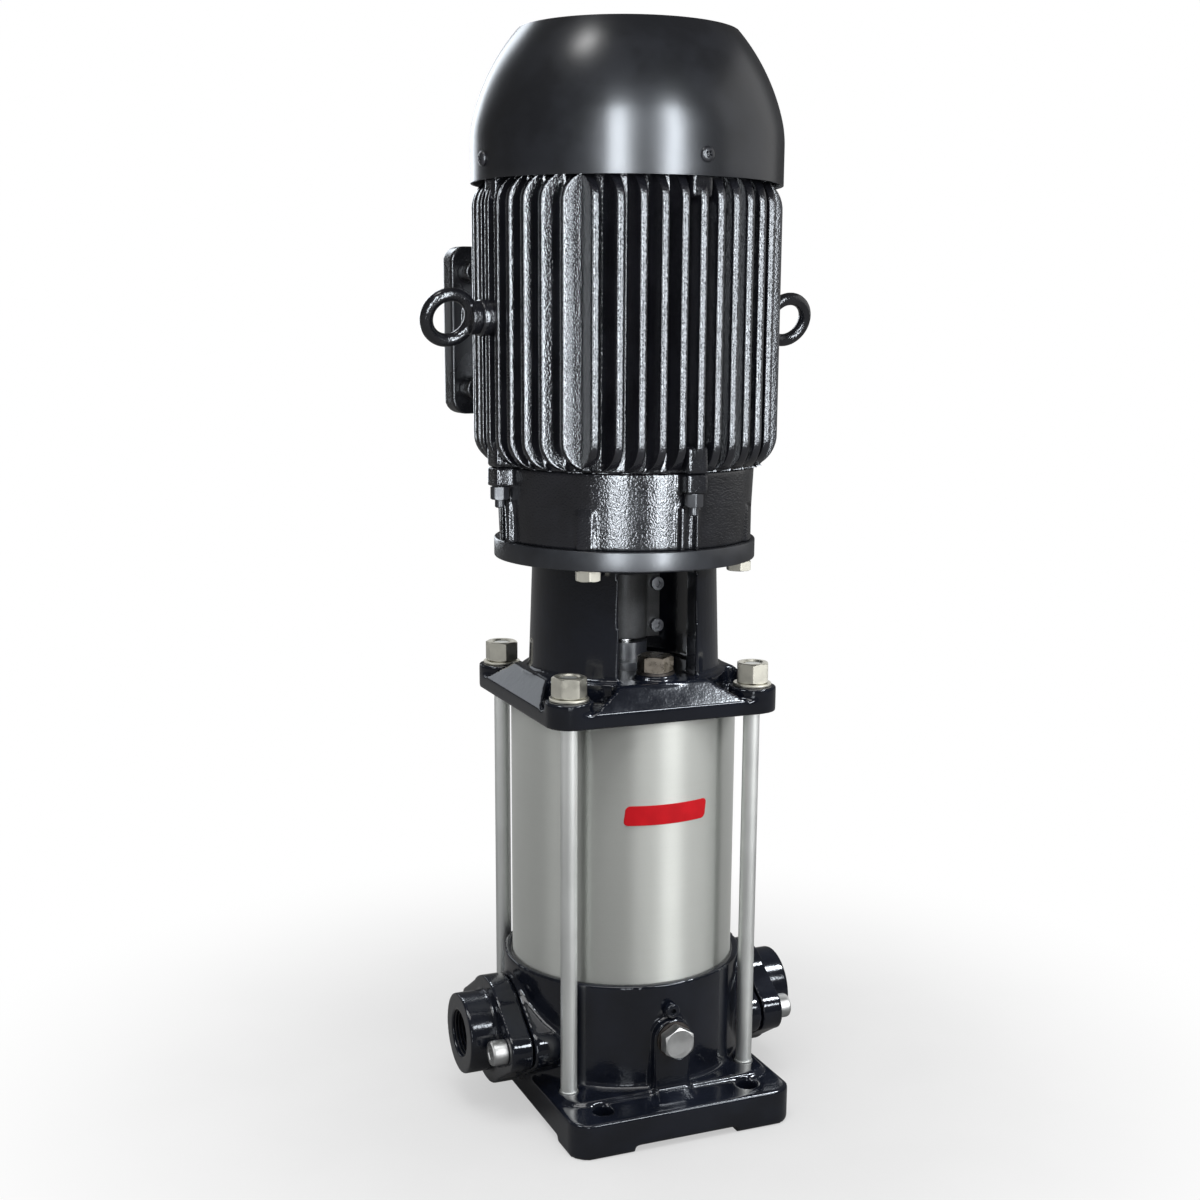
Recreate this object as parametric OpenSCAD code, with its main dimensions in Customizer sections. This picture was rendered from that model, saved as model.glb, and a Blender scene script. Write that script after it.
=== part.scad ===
// Vertical in-line multistage centrifugal pump with a finned flange motor.
// Units are millimetres. The origin is on the shaft axis at the underside of the foot.
// The shaft runs along Z, the ports lie along X, and the drain plug faces -Y.

/* [Foot and body] */
// Width of the foot plate along the ports
foot_w = 150; // [148:1:158]
// Depth of the foot plate across the ports
foot_d = 215; // [212:1:230]
// Thickness of the foot plate with its legs
foot_t = 23; // [20:0.5:26]
// Corner radius of the foot plate
foot_corner_r = 13; // [8:0.5:15]
// Length of each leg along the ports
leg_w = 40; // [36:1:50]
// Length of each leg across the ports
leg_d = 32; // [28:1:45]
// Height of the legs below the plate
leg_h = 3.5; // [2:0.5:6]
// Distance between the foot holes along the ports
foot_hole_pitch_x = 100; // [98:1:104]
// Distance between the foot holes across the ports
foot_hole_pitch_y = 180; // [178:1:186]
// Diameter of the foot holes
foot_hole_d = 13; // [11:0.5:14]
// Distance of the pad's long sides inside the foot's sides
pad_inset = 5; // [3:0.5:6]
// Depth of the raised pad
pad_d = 165; // [160:1:166]
// Height of the raised pad above the plate
pad_t = 3; // [1:0.5:5]
// Corner radius of the raised pad
pad_corner_r = 14; // [6:1:16]
// Outer radius of the cast body and its collar
body_r = 78; // [77:0.5:80]
// Height of the cast body above the raised pad
body_h = 68; // [66:1:75]
// Size of the slope between body and pad
body_slope = 1.5; // [1:0.5:3]
// Depth at which the sleeve is seated in the collar
seat_depth = 14; // [10:0.5:16]
// Thickness of the floor under the water chambers
body_floor_t = 28.5; // [24:0.5:30]
// Inner radius of the annular pressure chamber's outer wall
chamber_outer_r = 66; // [64:0.5:68]
// Outer radius of the wall round the suction chamber
suction_wall_r = 52; // [50:0.5:54]
// Thickness of the wall round the suction chamber
suction_wall_t = 4; // [3:0.5:5]
// Height of the suction chamber from its floor to the inlet plate
suction_chamber_h = 32; // [30:0.5:34]

/* [Ports] */
// Height of the port axis above the floor
port_z = 48; // [46:0.5:52]
// Distance from the side of the foot to the joint face of each port
port_standoff = 5; // [4:0.5:9]
// Radius of the round middle of the oval flanges
flange_hub_r = 35; // [32:0.5:38]
// Radius of the rounded ends of the oval flanges
flange_lobe_r = 14; // [12:0.5:15]
// Distance from the port axis to each flange screw
flange_screw_offset = 38; // [36:0.5:39]
// Thickness of the oval flange plates
flange_t = 14; // [10:0.5:16]
// Outer radius of the threaded boss on each flange
port_boss_r = 26; // [22:0.5:27]
// Length of the threaded boss beyond the flange plate
port_boss_l = 18.5; // [10:0.5:24]
// Radius of the port thread at its crests
port_thread_r = 15.15; // [13:0.05:16]
// Depth of the port thread
port_thread_l = 24; // [16:0.5:28]
// Radius of the water way behind the port thread
port_way_r = 13; // [10:0.5:14]
// Outer radius of the tube that crosses the pressure chamber
crossing_tube_r = 18; // [16:0.5:19]
// Thickness of the flange gaskets
gasket_t = 1.5; // [1:0.1:2]
// Outer radius of the flange gaskets
gasket_r = 28; // [24:0.5:30]

/* [Drain] */
// Height of the drain plug above the floor
drain_z = 60; // [56:0.5:62]
// Radius of the rounded drain boss
drain_boss_r = 12.5; // [11.5:0.5:14]
// Distance from the shaft axis to the face of the drain boss
drain_face_y = 84.5; // [83:0.5:88]
// Radius of the drain thread
drain_thread_r = 6.5; // [5:0.1:7]
// Width across flats of the drain plug
drain_hex_af = 19; // [15:0.5:20]
// Height of the drain plug's hexagon
drain_hex_h = 8.5; // [6:0.5:10]
// Thickness of the sealing washers under both plugs
plug_seal_t = 1.5; // [1:0.1:2]

/* [Sleeve and rods] */
// Outer radius of the outer sleeve
sleeve_r = 72.5; // [71:0.5:73.5]
// Wall thickness of the outer sleeve
sleeve_t = 1.5; // [1:0.1:2.5]
// Thickness of the flat seals at both sleeve ends
sleeve_seal_t = 1.5; // [1:0.1:2]
// Distance from the shaft planes to each tie rod
rod_offset = 61.6; // [61:0.1:62.5]
// Radius of the plain rod shank
rod_r = 5.2; // [4.5:0.1:5.4]
// Radius of the rod threads
rod_thread_r = 5.9; // [5.5:0.1:6]
// Length of rod thread held in the foot
rod_grip = 16; // [12:0.5:17]
// Depth of the rod's end below the top of its nut
rod_sink = 1; // [0:0.2:3]
// Width across flats of the rod nuts
rod_nut_af = 19; // [18:0.5:20]
// Height of the rod nuts
rod_nut_h = 12.8; // [10:0.2:16]
// Outer radius of the rod washers
rod_washer_r = 12; // [10.5:0.5:13]
// Thickness of the rod washers
rod_washer_t = 2; // [1.5:0.1:3]
// Width of the plain label on the sleeve
label_w = 56; // [30:1:70]
// Height of the plain label
label_h = 12.5; // [8:0.5:30]
// Height of the label's middle above the floor
label_z = 203.5; // [150:0.5:230]
// Thickness of the label
label_t = 0.6; // [0.4:0.1:1]
// Slant of the label's ends, in degrees
label_slant = 7; // [0:1:30]

/* [Stages] */
// Height of one pump stage
stage_pitch = 38; // [36:0.5:42]
// Outer radius of the stage chambers
chamber_r = 60; // [58:0.5:61]
// Wall thickness of the stage chambers
chamber_wall = 2.5; // [2:0.1:3]
// Thickness of each chamber floor
chamber_floor_t = 4; // [3:0.5:5]
// Height of the return plate above the chamber floor's underside
return_plate_z = 22; // [20:0.5:24]
// Thickness of the return plate
return_plate_t = 2; // [1.5:0.1:3]
// Radius of the return plate
return_plate_r = 48; // [45:0.5:50]
// Thickness of the return vanes
return_vane_t = 2; // [1.5:0.1:3]
// Outer radius of the neck rings
neck_ring_r = 24; // [23:0.5:26]
// Radial thickness of the neck rings
neck_ring_t = 3.4; // [3:0.1:3.8]
// Free height between the last stage and the head
stack_gap = 5; // [3:0.5:8]
// Outer radius of the impellers
impeller_r = 46; // [40:0.5:50]
// Thickness of the impeller shrouds
shroud_t = 1.8; // [1.4:0.1:2.2]
// Height of the impeller vanes
impeller_vane_h = 6.4; // [4:0.2:7]
// Thickness of the impeller vanes
impeller_vane_t = 2.2; // [1.6:0.1:3]
// Radius of the impeller hubs
impeller_hub_r = 11; // [10:0.1:11.4]
// Radial wall of the impeller eye
eye_wall = 1.7; // [1.2:0.1:2.2]
// Length of the last impeller's hub
last_hub_l = 25; // [22:0.5:26]
// Radius of the pump shaft
pump_shaft_r = 7; // [6.5:0.1:7.4]
// Thickness of the inlet plate
inlet_plate_t = 3; // [2.5:0.1:4]
// Length of the lower bearing bush
bush_l = 11; // [8:0.5:14]
// Radial wall of the lower bearing bush
bush_wall = 2.9; // [2:0.1:3.5]

/* [Head and lantern] */
// Half width of the square head plate
head_half = 76.5; // [75.5:0.1:79]
// Corner radius of the head plate
head_corner_r = 15; // [13:0.5:16]
// Thickness of the head plate at its corners
head_corner_t = 16; // [13:0.5:18]
// Height of the upright edge between the corners
head_edge_t = 9; // [6:0.5:11]
// Height of the head up to the top of its hub
head_hub_h = 22.5; // [20:0.5:26]
// Radius of the head's hub
head_hub_r = 66; // [63:0.5:68]
// Depth of the sleeve groove in the head
head_groove_d = 10; // [8:0.5:12]
// Radius of the chamber under the head
head_cavity_r = 64; // [62:0.5:66]
// Height of the chamber under the head
head_cavity_h = 10; // [6:0.5:12]
// Outer radius of the lantern at its foot
lantern_foot_r = 61; // [59:0.5:62]
// Outer radius of the lantern at its top
lantern_top_r = 58.5; // [57.5:0.5:60]
// Inner radius of the lantern
lantern_in_r = 46.5; // [44:0.5:47]
// Height of the lantern above the hub
lantern_h = 71; // [68:0.5:80]
// Width of the two lantern windows
window_w = 52; // [44:1:56]
// Height of the closed ring above the windows
lantern_ring_h = 4.5; // [4:0.5:8]
// Distance from the shaft axis to the priming plug
priming_y = 50; // [49:0.5:51]
// Radius of the priming plug's boss
priming_boss_r = 13; // [12.5:0.5:14]
// Height of the priming plug's boss above the hub
priming_boss_h = 3.5; // [2:0.5:6]
// Radius of the priming plug's thread
priming_thread_r = 8.2; // [7:0.1:8.6]
// Length of the priming plug's thread
priming_thread_l = 14; // [10:0.5:16]
// Width across flats of the priming plug
priming_hex_af = 20; // [18:0.5:22]
// Height of the priming plug's hexagon
priming_hex_h = 10; // [8:0.5:12]

/* [Shaft seal] */
// Radius of the seal bore in the head
seal_bore_r = 17.5; // [16.5:0.1:19]
// Radius of the gland's flange
gland_flange_r = 24; // [21:0.5:26]
// Thickness of the gland's flange
gland_flange_t = 5; // [3:0.5:6]
// Radius of the gland's neck
gland_neck_r = 15; // [13:0.5:16]
// Height of the gland's neck above its flange
gland_neck_h = 11; // [8:0.5:13]
// Depth of the gland's spigot in the seal bore
gland_spigot_h = 10; // [8:0.5:11]
// Radius of the stationary seal seat
seat_ring_r = 14; // [13:0.1:14.5]
// Thickness of the stationary seal seat
seat_ring_t = 5.5; // [4:0.5:6]
// Thickness of the rotating seal ring
seal_ring_t = 6; // [4:0.5:7]
// Radius of the rotating seal ring
seal_ring_r = 13; // [12:0.1:13.5]
// Width across flats of the impeller nut
impeller_nut_af = 22; // [20:0.5:24]
// Height of the impeller nut
impeller_nut_h = 7; // [5:0.5:8]

/* [Coupling] */
// Radius of the coupling barrel
coupling_r = 15; // [14:0.5:17]
// Half width of the coupling over its ears
coupling_ear_w = 21; // [20:0.5:24]
// Thickness of both coupling ears together
coupling_ear_t = 18; // [14:0.5:20]
// Length of the coupling
coupling_l = 42; // [36:0.5:44]
// Gap between the two coupling halves
coupling_split = 1.5; // [1:0.1:2.5]
// Gap between the gland and the coupling
coupling_lift = 2.5; // [2:0.5:5]
// Radius of the coupling screws
coupling_screw_r = 2.5; // [2:0.1:3]

/* [Motor flange] */
// Turn of the motor about the shaft, in degrees
motor_turn = 5; // [0:1:10]
// Radius of the ring between lantern and motor
adapter_r = 82.5; // [80:0.5:90]
// Thickness of the ring
adapter_t = 12; // [11:0.5:15]
// Radius of the opening in the ring
adapter_bore_r = 42; // [38:0.5:44]
// Radius of the motor's register in the ring
register_r = 57.15; // [57:0.05:58.5]
// Depth of the motor's register
register_h = 4; // [3:0.5:5]
// Circle radius of the screws between ring and lantern
adapter_screw_circle_r = 51.5; // [51:0.1:52]
// Radius of the screws between ring and lantern
adapter_screw_r = 3; // [2.5:0.1:3.2]
// Circle radius of the bolts between ring and motor
flange_bolt_circle_r = 74.6; // [74:0.1:75]
// Radius of the bolts between ring and motor
flange_bolt_r = 4.76; // [4:0.02:5]
// Width across flats of the bolts between ring and motor
flange_bolt_af = 14.3; // [13:0.1:15]
// Height of the bolt heads between ring and motor
flange_bolt_head_h = 6.5; // [5:0.5:7]

/* [Motor] */
// Height of the drive end shield
shield_h = 46; // [42:0.5:52]
// Outer radius of the drive end shield at the ring
shield_foot_r = 79; // [78:0.5:80]
// Outer radius of the drive end shield at the frame
shield_top_r = 81; // [80:0.5:82]
// Wall thickness of the end shields
shield_wall = 8; // [7:0.5:9]
// Thickness of the drive end shield's floor
shield_floor_t = 11.5; // [10:0.5:13]
// Circle radius of the bolts at the drive end
shield_bolt_circle_r = 86.2; // [86:0.1:87]
// Circle radius of the bolts at the rear end
rear_bolt_circle_r = 78; // [77.5:0.1:78.5]
// Radius of the shield bolts
shield_bolt_r = 3; // [2.5:0.1:3.5]
// Width across flats of the shield bolt heads
shield_bolt_af = 10; // [9:0.1:10.2]
// Width of the shield lugs
shield_lug_w = 14; // [13:0.5:20]
// Height of the shield lugs
shield_lug_h = 11.5; // [9:0.5:14]
// Length of the finned frame
frame_l = 171.5; // [165:0.5:190]
// Outer radius of the frame wall
frame_r = 82; // [81.5:0.5:84]
// Inner radius of the frame wall
frame_bore_r = 74; // [72:0.5:75]
// Radius of the fin tips
fin_tip_r = 94; // [92:0.5:94.5]
// Thickness of each fin
fin_t = 4.2; // [3:0.1:5.5]
// Distance between neighbouring fins
fin_pitch = 11.7; // [11:0.1:12]
// Radius that rounds the fin ends
fin_end_r = 18; // [14:0.5:20]
// Radius of the stator bore
stator_bore_r = 45; // [42:0.5:48]
// Distance from the stator core to the frame's upper end
stator_end_gap = 25; // [24:0.5:35]
// Distance from the frame's lower end to the stator core
stator_z = 31.5; // [28:0.5:34]
// Height of each end winding
winding_h = 18; // [14:0.5:20]
// Air gap between rotor and stator
air_gap = 0.5; // [0.4:0.1:1]
// Radius of the motor shaft in the coupling
motor_shaft_end_r = 8; // [7:0.1:8.5]
// Radius of the motor shaft in the rotor
motor_shaft_r = 15; // [14:0.5:16]

/* [Bearings] */
// Bore radius of the lower ball bearing
lower_bearing_bore_r = 12.5; // [12:0.5:13]
// Outer radius of the lower ball bearing
lower_bearing_r = 26; // [25:0.5:27]
// Width of the lower ball bearing
lower_bearing_w = 15; // [14:0.5:16]
// Radius of the lower bearing's balls
lower_ball_r = 3.8; // [3.4:0.1:4]
// Bore radius of the upper ball bearing
upper_bearing_bore_r = 10; // [9.5:0.5:10.5]
// Outer radius of the upper ball bearing
upper_bearing_r = 23.5; // [22.5:0.5:24]
// Width of the upper ball bearing
upper_bearing_w = 14; // [12:0.5:15]
// Radius of the upper bearing's balls
upper_ball_r = 3.6; // [3.2:0.1:3.8]

/* [Fan and cover] */
// Radius of the fan
fan_r = 72; // [60:1:74]
// Height of the fan blades
fan_blade_h = 24; // [18:1:26]
// Thickness of the fan blades
fan_blade_t = 3; // [2:0.5:4]
// Outer radius of the fan cover's rim
cover_r = 95; // [94:0.5:98]
// Wall thickness of the fan cover
cover_t = 1.6; // [1:0.1:2.5]
// Height of the cover's straight rim
cover_rim_h = 23; // [21:0.5:26]
// Lap of the cover over the frame's end
cover_lap = 4; // [2:0.5:8]
// Radius of the bend above the rim
cover_bend_r = 60; // [50:1:70]
// Radius of the dome's long curve
cover_dome_r = 120; // [110:1:130]
// Slope of the dome above the bend, in degrees
cover_bend_slope = 14; // [12:0.5:16]
// Slope of the dome at the grille, in degrees
cover_edge_slope = 41.5; // [38:0.5:44]

/* [Eye bolts] */
// Distance from the shaft axis to the eye bolt seats
eye_seat_x = 100; // [98:0.5:104]
// Height of the eye bolts above the frame's lower end
eye_z = 88.5; // [80:0.5:100]
// Radius from the eye's middle to the middle of its ring
eye_ring_r = 14; // [13:0.5:16]
// Radius of the ring's section
eye_wire_r = 4; // [3.5:0.1:4.5]
// Radius of the eye bolt's collar
eye_collar_r = 10; // [9:0.5:11]
// Height of the eye bolt's collar
eye_collar_h = 6; // [5:0.5:7]
// Radius of the eye bolt's thread
eye_thread_r = 4; // [3.5:0.1:4.5]
// Turn of each ring about its thread, in degrees
eye_turn = 20; // [-45:1:45]

/* [Terminal box] */
// Width of the terminal box
box_w = 96; // [90:1:104]
// Height of the terminal box
box_h = 94; // [88:1:100]
// Depth of the terminal box
box_d = 30; // [26:1:36]
// Wall thickness of the terminal box
box_wall = 4; // [3:0.5:5]
// Distance from the shaft axis to the back of the box
box_y = 98; // [96:0.5:102]
// Height of the box's middle above the frame's lower end
box_z = 79.5; // [70:0.5:90]
// Overhang of the box lid at each side
lid_lap_x = 15; // [12:0.5:18]
// Overhang of the box lid at its upper and lower edge
lid_lap_z = 8; // [4:0.5:12]
// Depth of the box lid
lid_d = 15; // [12:0.5:18]
// Corner radius of the box lid
lid_corner_r = 10; // [6:0.5:14]
// Radius of the cable entry's thread
entry_r = 9.25; // [7:0.05:9.75]
// Length of the cable entry's boss
entry_boss_l = 9; // [6:0.5:12]

/* [Hidden] */
$fn = 96;

// Overrun of every cut beyond the face that it opens
cut = 1;
// Radial clearance of pieces that are seated in each other
fit = 0.05;
// Radial clearance of screws in plain holes
screw_play = 0.4;
// Clearance between faces that run past each other
run_gap = 0.3;
// Depth by which raised details are rooted in their casting
root = 2;
// Height of the light steps before the drain rib
step_h = 0.8;
// Depth of each light step before the drain rib
step_d = 3.5;
// Number of light steps
step_count = 3;
// Turn from a side to the next corner, in degrees
corner_turn = 45;
// Number of pump stages
stage_count = 5;
// Number of return vanes and impeller vanes
return_vane_count = 8;
impeller_vane_count = 6;
// Number of fins on each side of a fin group's middle
fin_side_count = 5;
// Number of balls in each bearing
ball_count = 8;

// Distance from the shaft axis to the joint face of each port
pad_w = foot_w - 2 * pad_inset;
port_joint_x = max(foot_w / 2 + port_standoff, body_r + body_slope + run_gap);

// Heights along the shaft
pad_z = foot_t + pad_t;
collar_z = pad_z + body_h;
seat_z = collar_z - seat_depth;
chamber_floor_z = leg_h + body_floor_t;
ledge_z = chamber_floor_z + suction_chamber_h;
stage_z = ledge_z + inlet_plate_t;
head_z = stage_z + stage_count * stage_pitch + stack_gap;
head_corner_z = head_z + head_corner_t;
hub_z = head_z + head_hub_h;
lantern_z = hub_z + lantern_h;
motor_z = lantern_z + adapter_t;
frame_z = motor_z + shield_h;
frame_top_z = frame_z + frame_l;
cover_z = frame_top_z - cover_lap;

// A point at a radius and an angle
function polar(radius, angle) = [radius * cos(angle), radius * sin(angle)];

// Rounded rectangle about the origin
module round_rect(w, d, r) {
  square([w - 2 * r, d], center = true);
  square([w, d - 2 * r], center = true);
  for (x = [-1, 1], y = [-1, 1])
    translate([x * (w / 2 - r), y * (d / 2 - r)])
      circle(r);
}

// Copies set round the shaft
module around(count, radius, first = 0) {
  for (i = [0 : count - 1])
    rotate(first + i * 360 / count)
      translate([radius, 0, 0])
        children();
}

// Copies at the four tie rods
module at_rods() {
  for (x = [-1, 1], y = [-1, 1])
    translate([x * rod_offset, y * rod_offset, 0])
      children();
}

// A hollow ring from one height to another
module ring(r_out, r_in, z, h) {
  translate([0, 0, z])
    difference() {
      cylinder(h = h, r = r_out);
      translate([0, 0, -cut])
        cylinder(h = h + 2 * cut, r = r_in);
    }
}

// Turn that sets a flat of a hexagon outward, in degrees
hex_turn = 30;

// A hexagon prism measured across its flats
module hex(af, h) {
  cylinder(h = h, r = af / sqrt(3), $fn = 6);
}

// A part of the port side, turned from Z to lie along the port axis, side 1 or -1
module port_side(side) {
  translate([0, 0, port_z])
    rotate([0, side * 90, 0])
      children();
}

// Width of a flange's web as a share of the width at which its sides would touch the round ends
flange_web_share = 0.97;

// Outline of an oval flange, with its long axis along Y
module flange_outline() {
  c = (flange_hub_r - flange_lobe_r) / flange_screw_offset;
  s = sqrt(1 - c * c) * flange_web_share;
  circle(flange_hub_r);
  for (end = [-1, 1])
    translate([0, end * flange_screw_offset])
      circle(flange_lobe_r);
  for (end = [-1, 1])
    scale([1, end])
      polygon([
        [flange_hub_r * s, flange_hub_r * c],
        [flange_lobe_r * s, flange_screw_offset + flange_lobe_r * c],
        [-flange_lobe_r * s, flange_screw_offset + flange_lobe_r * c],
        [-flange_hub_r * s, flange_hub_r * c]
      ]);
}

// Places of the two screws of one flange, in the flange's own plane
module at_flange_screws() {
  for (s = [-1, 1])
    translate([0, s * flange_screw_offset, 0])
      children();
}

// Depth of the flange screws in the body
flange_screw_grip = 18;
// Radius of the flange screws
flange_screw_r = 5;
// Radius and height of the flange screws' heads
flange_screw_head_r = 8;
flange_screw_head_h = 10;
// Width across flats and depth of the flange screws' sockets
flange_screw_socket_af = 8;
flange_screw_socket_d = 5;

// Outer shape of the cast body with the slope at its foot, as a profile
module body_profile() {
  low_z = foot_t - root;
  polygon([
    [0, low_z], [body_r, low_z], [body_r, pad_z], [body_r + body_slope, pad_z],
    [body_r, pad_z + body_slope], [body_r, collar_z], [0, collar_z]
  ]);
}

// Solid shape of the foot, body, port pads and drain rib
module base_outside() {
  linear_extrude(foot_t)
    round_rect(foot_w, foot_d, foot_corner_r);
  translate([0, 0, foot_t - root])
    linear_extrude(pad_t + root)
      round_rect(pad_w, pad_d, pad_corner_r);
  rotate_extrude()
    body_profile();
  for (side = [-1, 1])
    port_side(side)
      translate([0, 0, suction_wall_r + root])
        linear_extrude(port_joint_x - suction_wall_r - root)
          flange_outline();
  drain_rib();
}

// Upright rib that carries the drain boss, with three light steps at its foot
module drain_rib() {
  rib_back = chamber_outer_r + root;
  rib_h = drain_z - foot_t + root;
  translate([0, -rib_back, drain_z])
    rotate([90, 0, 0])
      linear_extrude(drain_face_y - rib_back) {
        circle(drain_boss_r);
        translate([-drain_boss_r, -rib_h])
          square([2 * drain_boss_r, rib_h]);
      }
  for (i = [1 : step_count])
    translate([-drain_boss_r, -drain_face_y - i * step_d, foot_t - root])
      cube([2 * drain_boss_r, i * step_d + root, root + (step_count + 1 - i) * step_h]);
}

// Water spaces inside the body
module base_inside() {
  translate([0, 0, seat_z])
    cylinder(h = seat_depth + cut, r = sleeve_r + fit);
  translate([0, 0, ledge_z])
    cylinder(h = seat_z - ledge_z + cut, r = chamber_outer_r);
  difference() {
    ring(chamber_outer_r, suction_wall_r, chamber_floor_z, suction_chamber_h);
    port_side(-1)
      cylinder(h = port_joint_x, r = crossing_tube_r);
  }
  translate([0, 0, chamber_floor_z])
    cylinder(h = suction_chamber_h, r = suction_wall_r - suction_wall_t);
  port_side(-1)
    cylinder(h = port_joint_x + cut, r = port_way_r);
  port_side(1)
    translate([0, 0, (suction_wall_r + chamber_outer_r) / 2])
      cylinder(h = port_joint_x, r = port_way_r);
  translate([0, -suction_wall_r - root, drain_z])
    rotate([90, 0, 0])
      cylinder(h = drain_face_y, r = drain_thread_r + fit);
}

// Holes for the flange screws, the rods and the foot bolts
module base_holes() {
  for (side = [-1, 1])
    port_side(side)
      translate([0, 0, port_joint_x - flange_screw_grip])
        at_flange_screws()
          cylinder(h = flange_screw_grip + cut, r = flange_screw_r + fit);
  at_rods()
    translate([0, 0, pad_z - rod_grip])
      cylinder(h = rod_grip + cut, r = rod_thread_r + fit);
  for (x = [-1, 1], y = [-1, 1])
    translate([x * foot_hole_pitch_x / 2, y * foot_hole_pitch_y / 2, -cut])
      cylinder(h = foot_t + pad_t + 2 * cut, r = foot_hole_d / 2);
}

// Space between the legs, cut across the underside both ways
module leg_gaps() {
  translate([leg_w - foot_w / 2, -foot_d / 2 - cut, -cut])
    cube([foot_w - 2 * leg_w, foot_d + 2 * cut, leg_h + cut]);
  translate([-foot_w / 2 - cut, leg_d - foot_d / 2, -cut])
    cube([foot_w + 2 * cut, foot_d - 2 * leg_d, leg_h + cut]);
}

module base_casting() {
  color("#15161a")
    difference() {
      base_outside();
      base_inside();
      base_holes();
      leg_gaps();
    }
}

// Oval flange with its threaded boss, on side 1 or -1
module port_flange(side) {
  plate_x = port_joint_x + gasket_t;
  face_x = plate_x + flange_t + port_boss_l;
  color("#17181b")
    port_side(side)
      difference() {
        union() {
          translate([0, 0, plate_x])
            linear_extrude(flange_t)
              flange_outline();
          translate([0, 0, plate_x])
            cylinder(h = face_x - plate_x, r = port_boss_r);
        }
        translate([0, 0, plate_x - cut])
          cylinder(h = face_x - plate_x + 2 * cut, r = port_way_r);
        translate([0, 0, face_x - port_thread_l])
          cylinder(h = port_thread_l + cut, r = port_thread_r);
        translate([0, 0, plate_x - cut])
          at_flange_screws()
            cylinder(h = flange_t + 2 * cut, r = flange_screw_r + screw_play);
      }
}

module suction_flange() port_flange(-1);

module discharge_flange() port_flange(1);

module flange_gaskets() {
  color("#2b2f33")
    for (side = [-1, 1])
      port_side(side)
        ring(gasket_r, port_way_r, port_joint_x, gasket_t);
}

// Socket head screw, head underside at zero, shank downward
module socket_screw(r, l, head_r, head_h, socket_af, socket_d) {
  difference() {
    union() {
      translate([0, 0, -l])
        cylinder(h = l + head_h, r = r);
      cylinder(h = head_h, r = head_r);
    }
    translate([0, 0, head_h - socket_d])
      hex(socket_af, socket_d + cut);
  }
}

module flange_screws() {
  color("#b9b9b6")
    for (side = [-1, 1])
      port_side(side)
        translate([0, 0, port_joint_x + gasket_t + flange_t])
          at_flange_screws()
            socket_screw(flange_screw_r, flange_screw_grip + gasket_t + flange_t - root,
              flange_screw_head_r, flange_screw_head_h,
              flange_screw_socket_af, flange_screw_socket_d);
}

// Depth of the drain plug's thread beyond the boss face
drain_thread_l = 16;

module drain_plug() {
  color("#c4c4c0")
    translate([0, -drain_face_y - plug_seal_t, drain_z])
      rotate([90, 0, 0]) {
        hex(drain_hex_af, drain_hex_h);
        translate([0, 0, -plug_seal_t - drain_thread_l])
          cylinder(h = plug_seal_t + drain_thread_l, r = drain_thread_r);
      }
}

// Outer radius of the sealing washers
drain_seal_r = 11.5;
priming_seal_r = 12;

module plug_seals() {
  color("#8a5a38") {
    translate([0, -drain_face_y, drain_z])
      rotate([90, 0, 0])
        ring(drain_seal_r, drain_thread_r + fit, 0, plug_seal_t);
    translate([0, -priming_y, hub_z + priming_boss_h])
      ring(priming_seal_r, priming_thread_r + fit, 0, plug_seal_t);
  }
}

module outer_sleeve() {
  bottom_z = seat_z + sleeve_seal_t;
  top_z = head_z + head_groove_d - sleeve_seal_t;
  color("#b4b2aa")
    ring(sleeve_r, sleeve_r - sleeve_t, bottom_z, top_z - bottom_z);
}

module sleeve_seals() {
  color("#2b2f33")
    for (z = [seat_z, head_z + head_groove_d - sleeve_seal_t])
      ring(sleeve_r, sleeve_r - sleeve_t, z, sleeve_seal_t);
}

// Slanted outline of the label
module label_outline() {
  slant = label_h / 2 * tan(label_slant);
  polygon([
    [-label_w / 2 - slant, -label_h / 2], [label_w / 2 - slant, -label_h / 2],
    [label_w / 2 + slant, label_h / 2], [slant - label_w / 2, label_h / 2]
  ]);
}

module label_plate() {
  color("#c8202c")
    intersection() {
      ring(sleeve_r + fit + label_t, sleeve_r + fit, label_z - label_h, 2 * label_h);
      translate([0, 0, label_z])
        rotate([90, 0, 0])
          linear_extrude(sleeve_r + fit + label_t + cut)
            label_outline();
    }
}

// Underside height of a stage, counted from 1
function stage_bottom(i) = stage_z + (i - 1) * stage_pitch;

// Radius of the hole in each chamber floor, which holds the neck ring
neck_seat_r = neck_ring_r + fit;
// Radial clearance between impeller eye and neck ring
eye_gap = 0.4;
// Radial clearance round the impeller hubs
hub_gap = 0.6;
// Lean of the return vanes, in degrees
return_vane_lean = 38;

module stage_chamber(i) {
  vane_z = return_plate_z + return_plate_t;
  start_r = impeller_nut_af / sqrt(3) + root;
  along = start_r * cos(return_vane_lean);
  vane_l = sqrt(along * along - start_r * start_r + pow(chamber_r - chamber_wall / 2, 2)) - along;
  color("#9b9c9a")
    translate([0, 0, stage_bottom(i)]) {
      ring(chamber_r, chamber_r - chamber_wall, 0, stage_pitch);
      ring(chamber_r - chamber_wall / 2, neck_seat_r, 0, chamber_floor_t);
      ring(return_plate_r, impeller_hub_r + hub_gap, return_plate_z, return_plate_t);
      around(return_vane_count, start_r)
        rotate(return_vane_lean)
          translate([0, -return_vane_t / 2, vane_z - return_plate_t / 2])
            cube([vane_l, return_vane_t, stage_pitch - run_gap - vane_z + return_plate_t / 2]);
    }
}

module neck_rings() {
  color("#d8d2c0")
    for (i = [1 : stage_count])
      ring(neck_ring_r, neck_ring_r - neck_ring_t, stage_bottom(i), chamber_floor_t);
}

// Length of the bush's holder below the inlet plate
bush_holder_l = 10;
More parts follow.
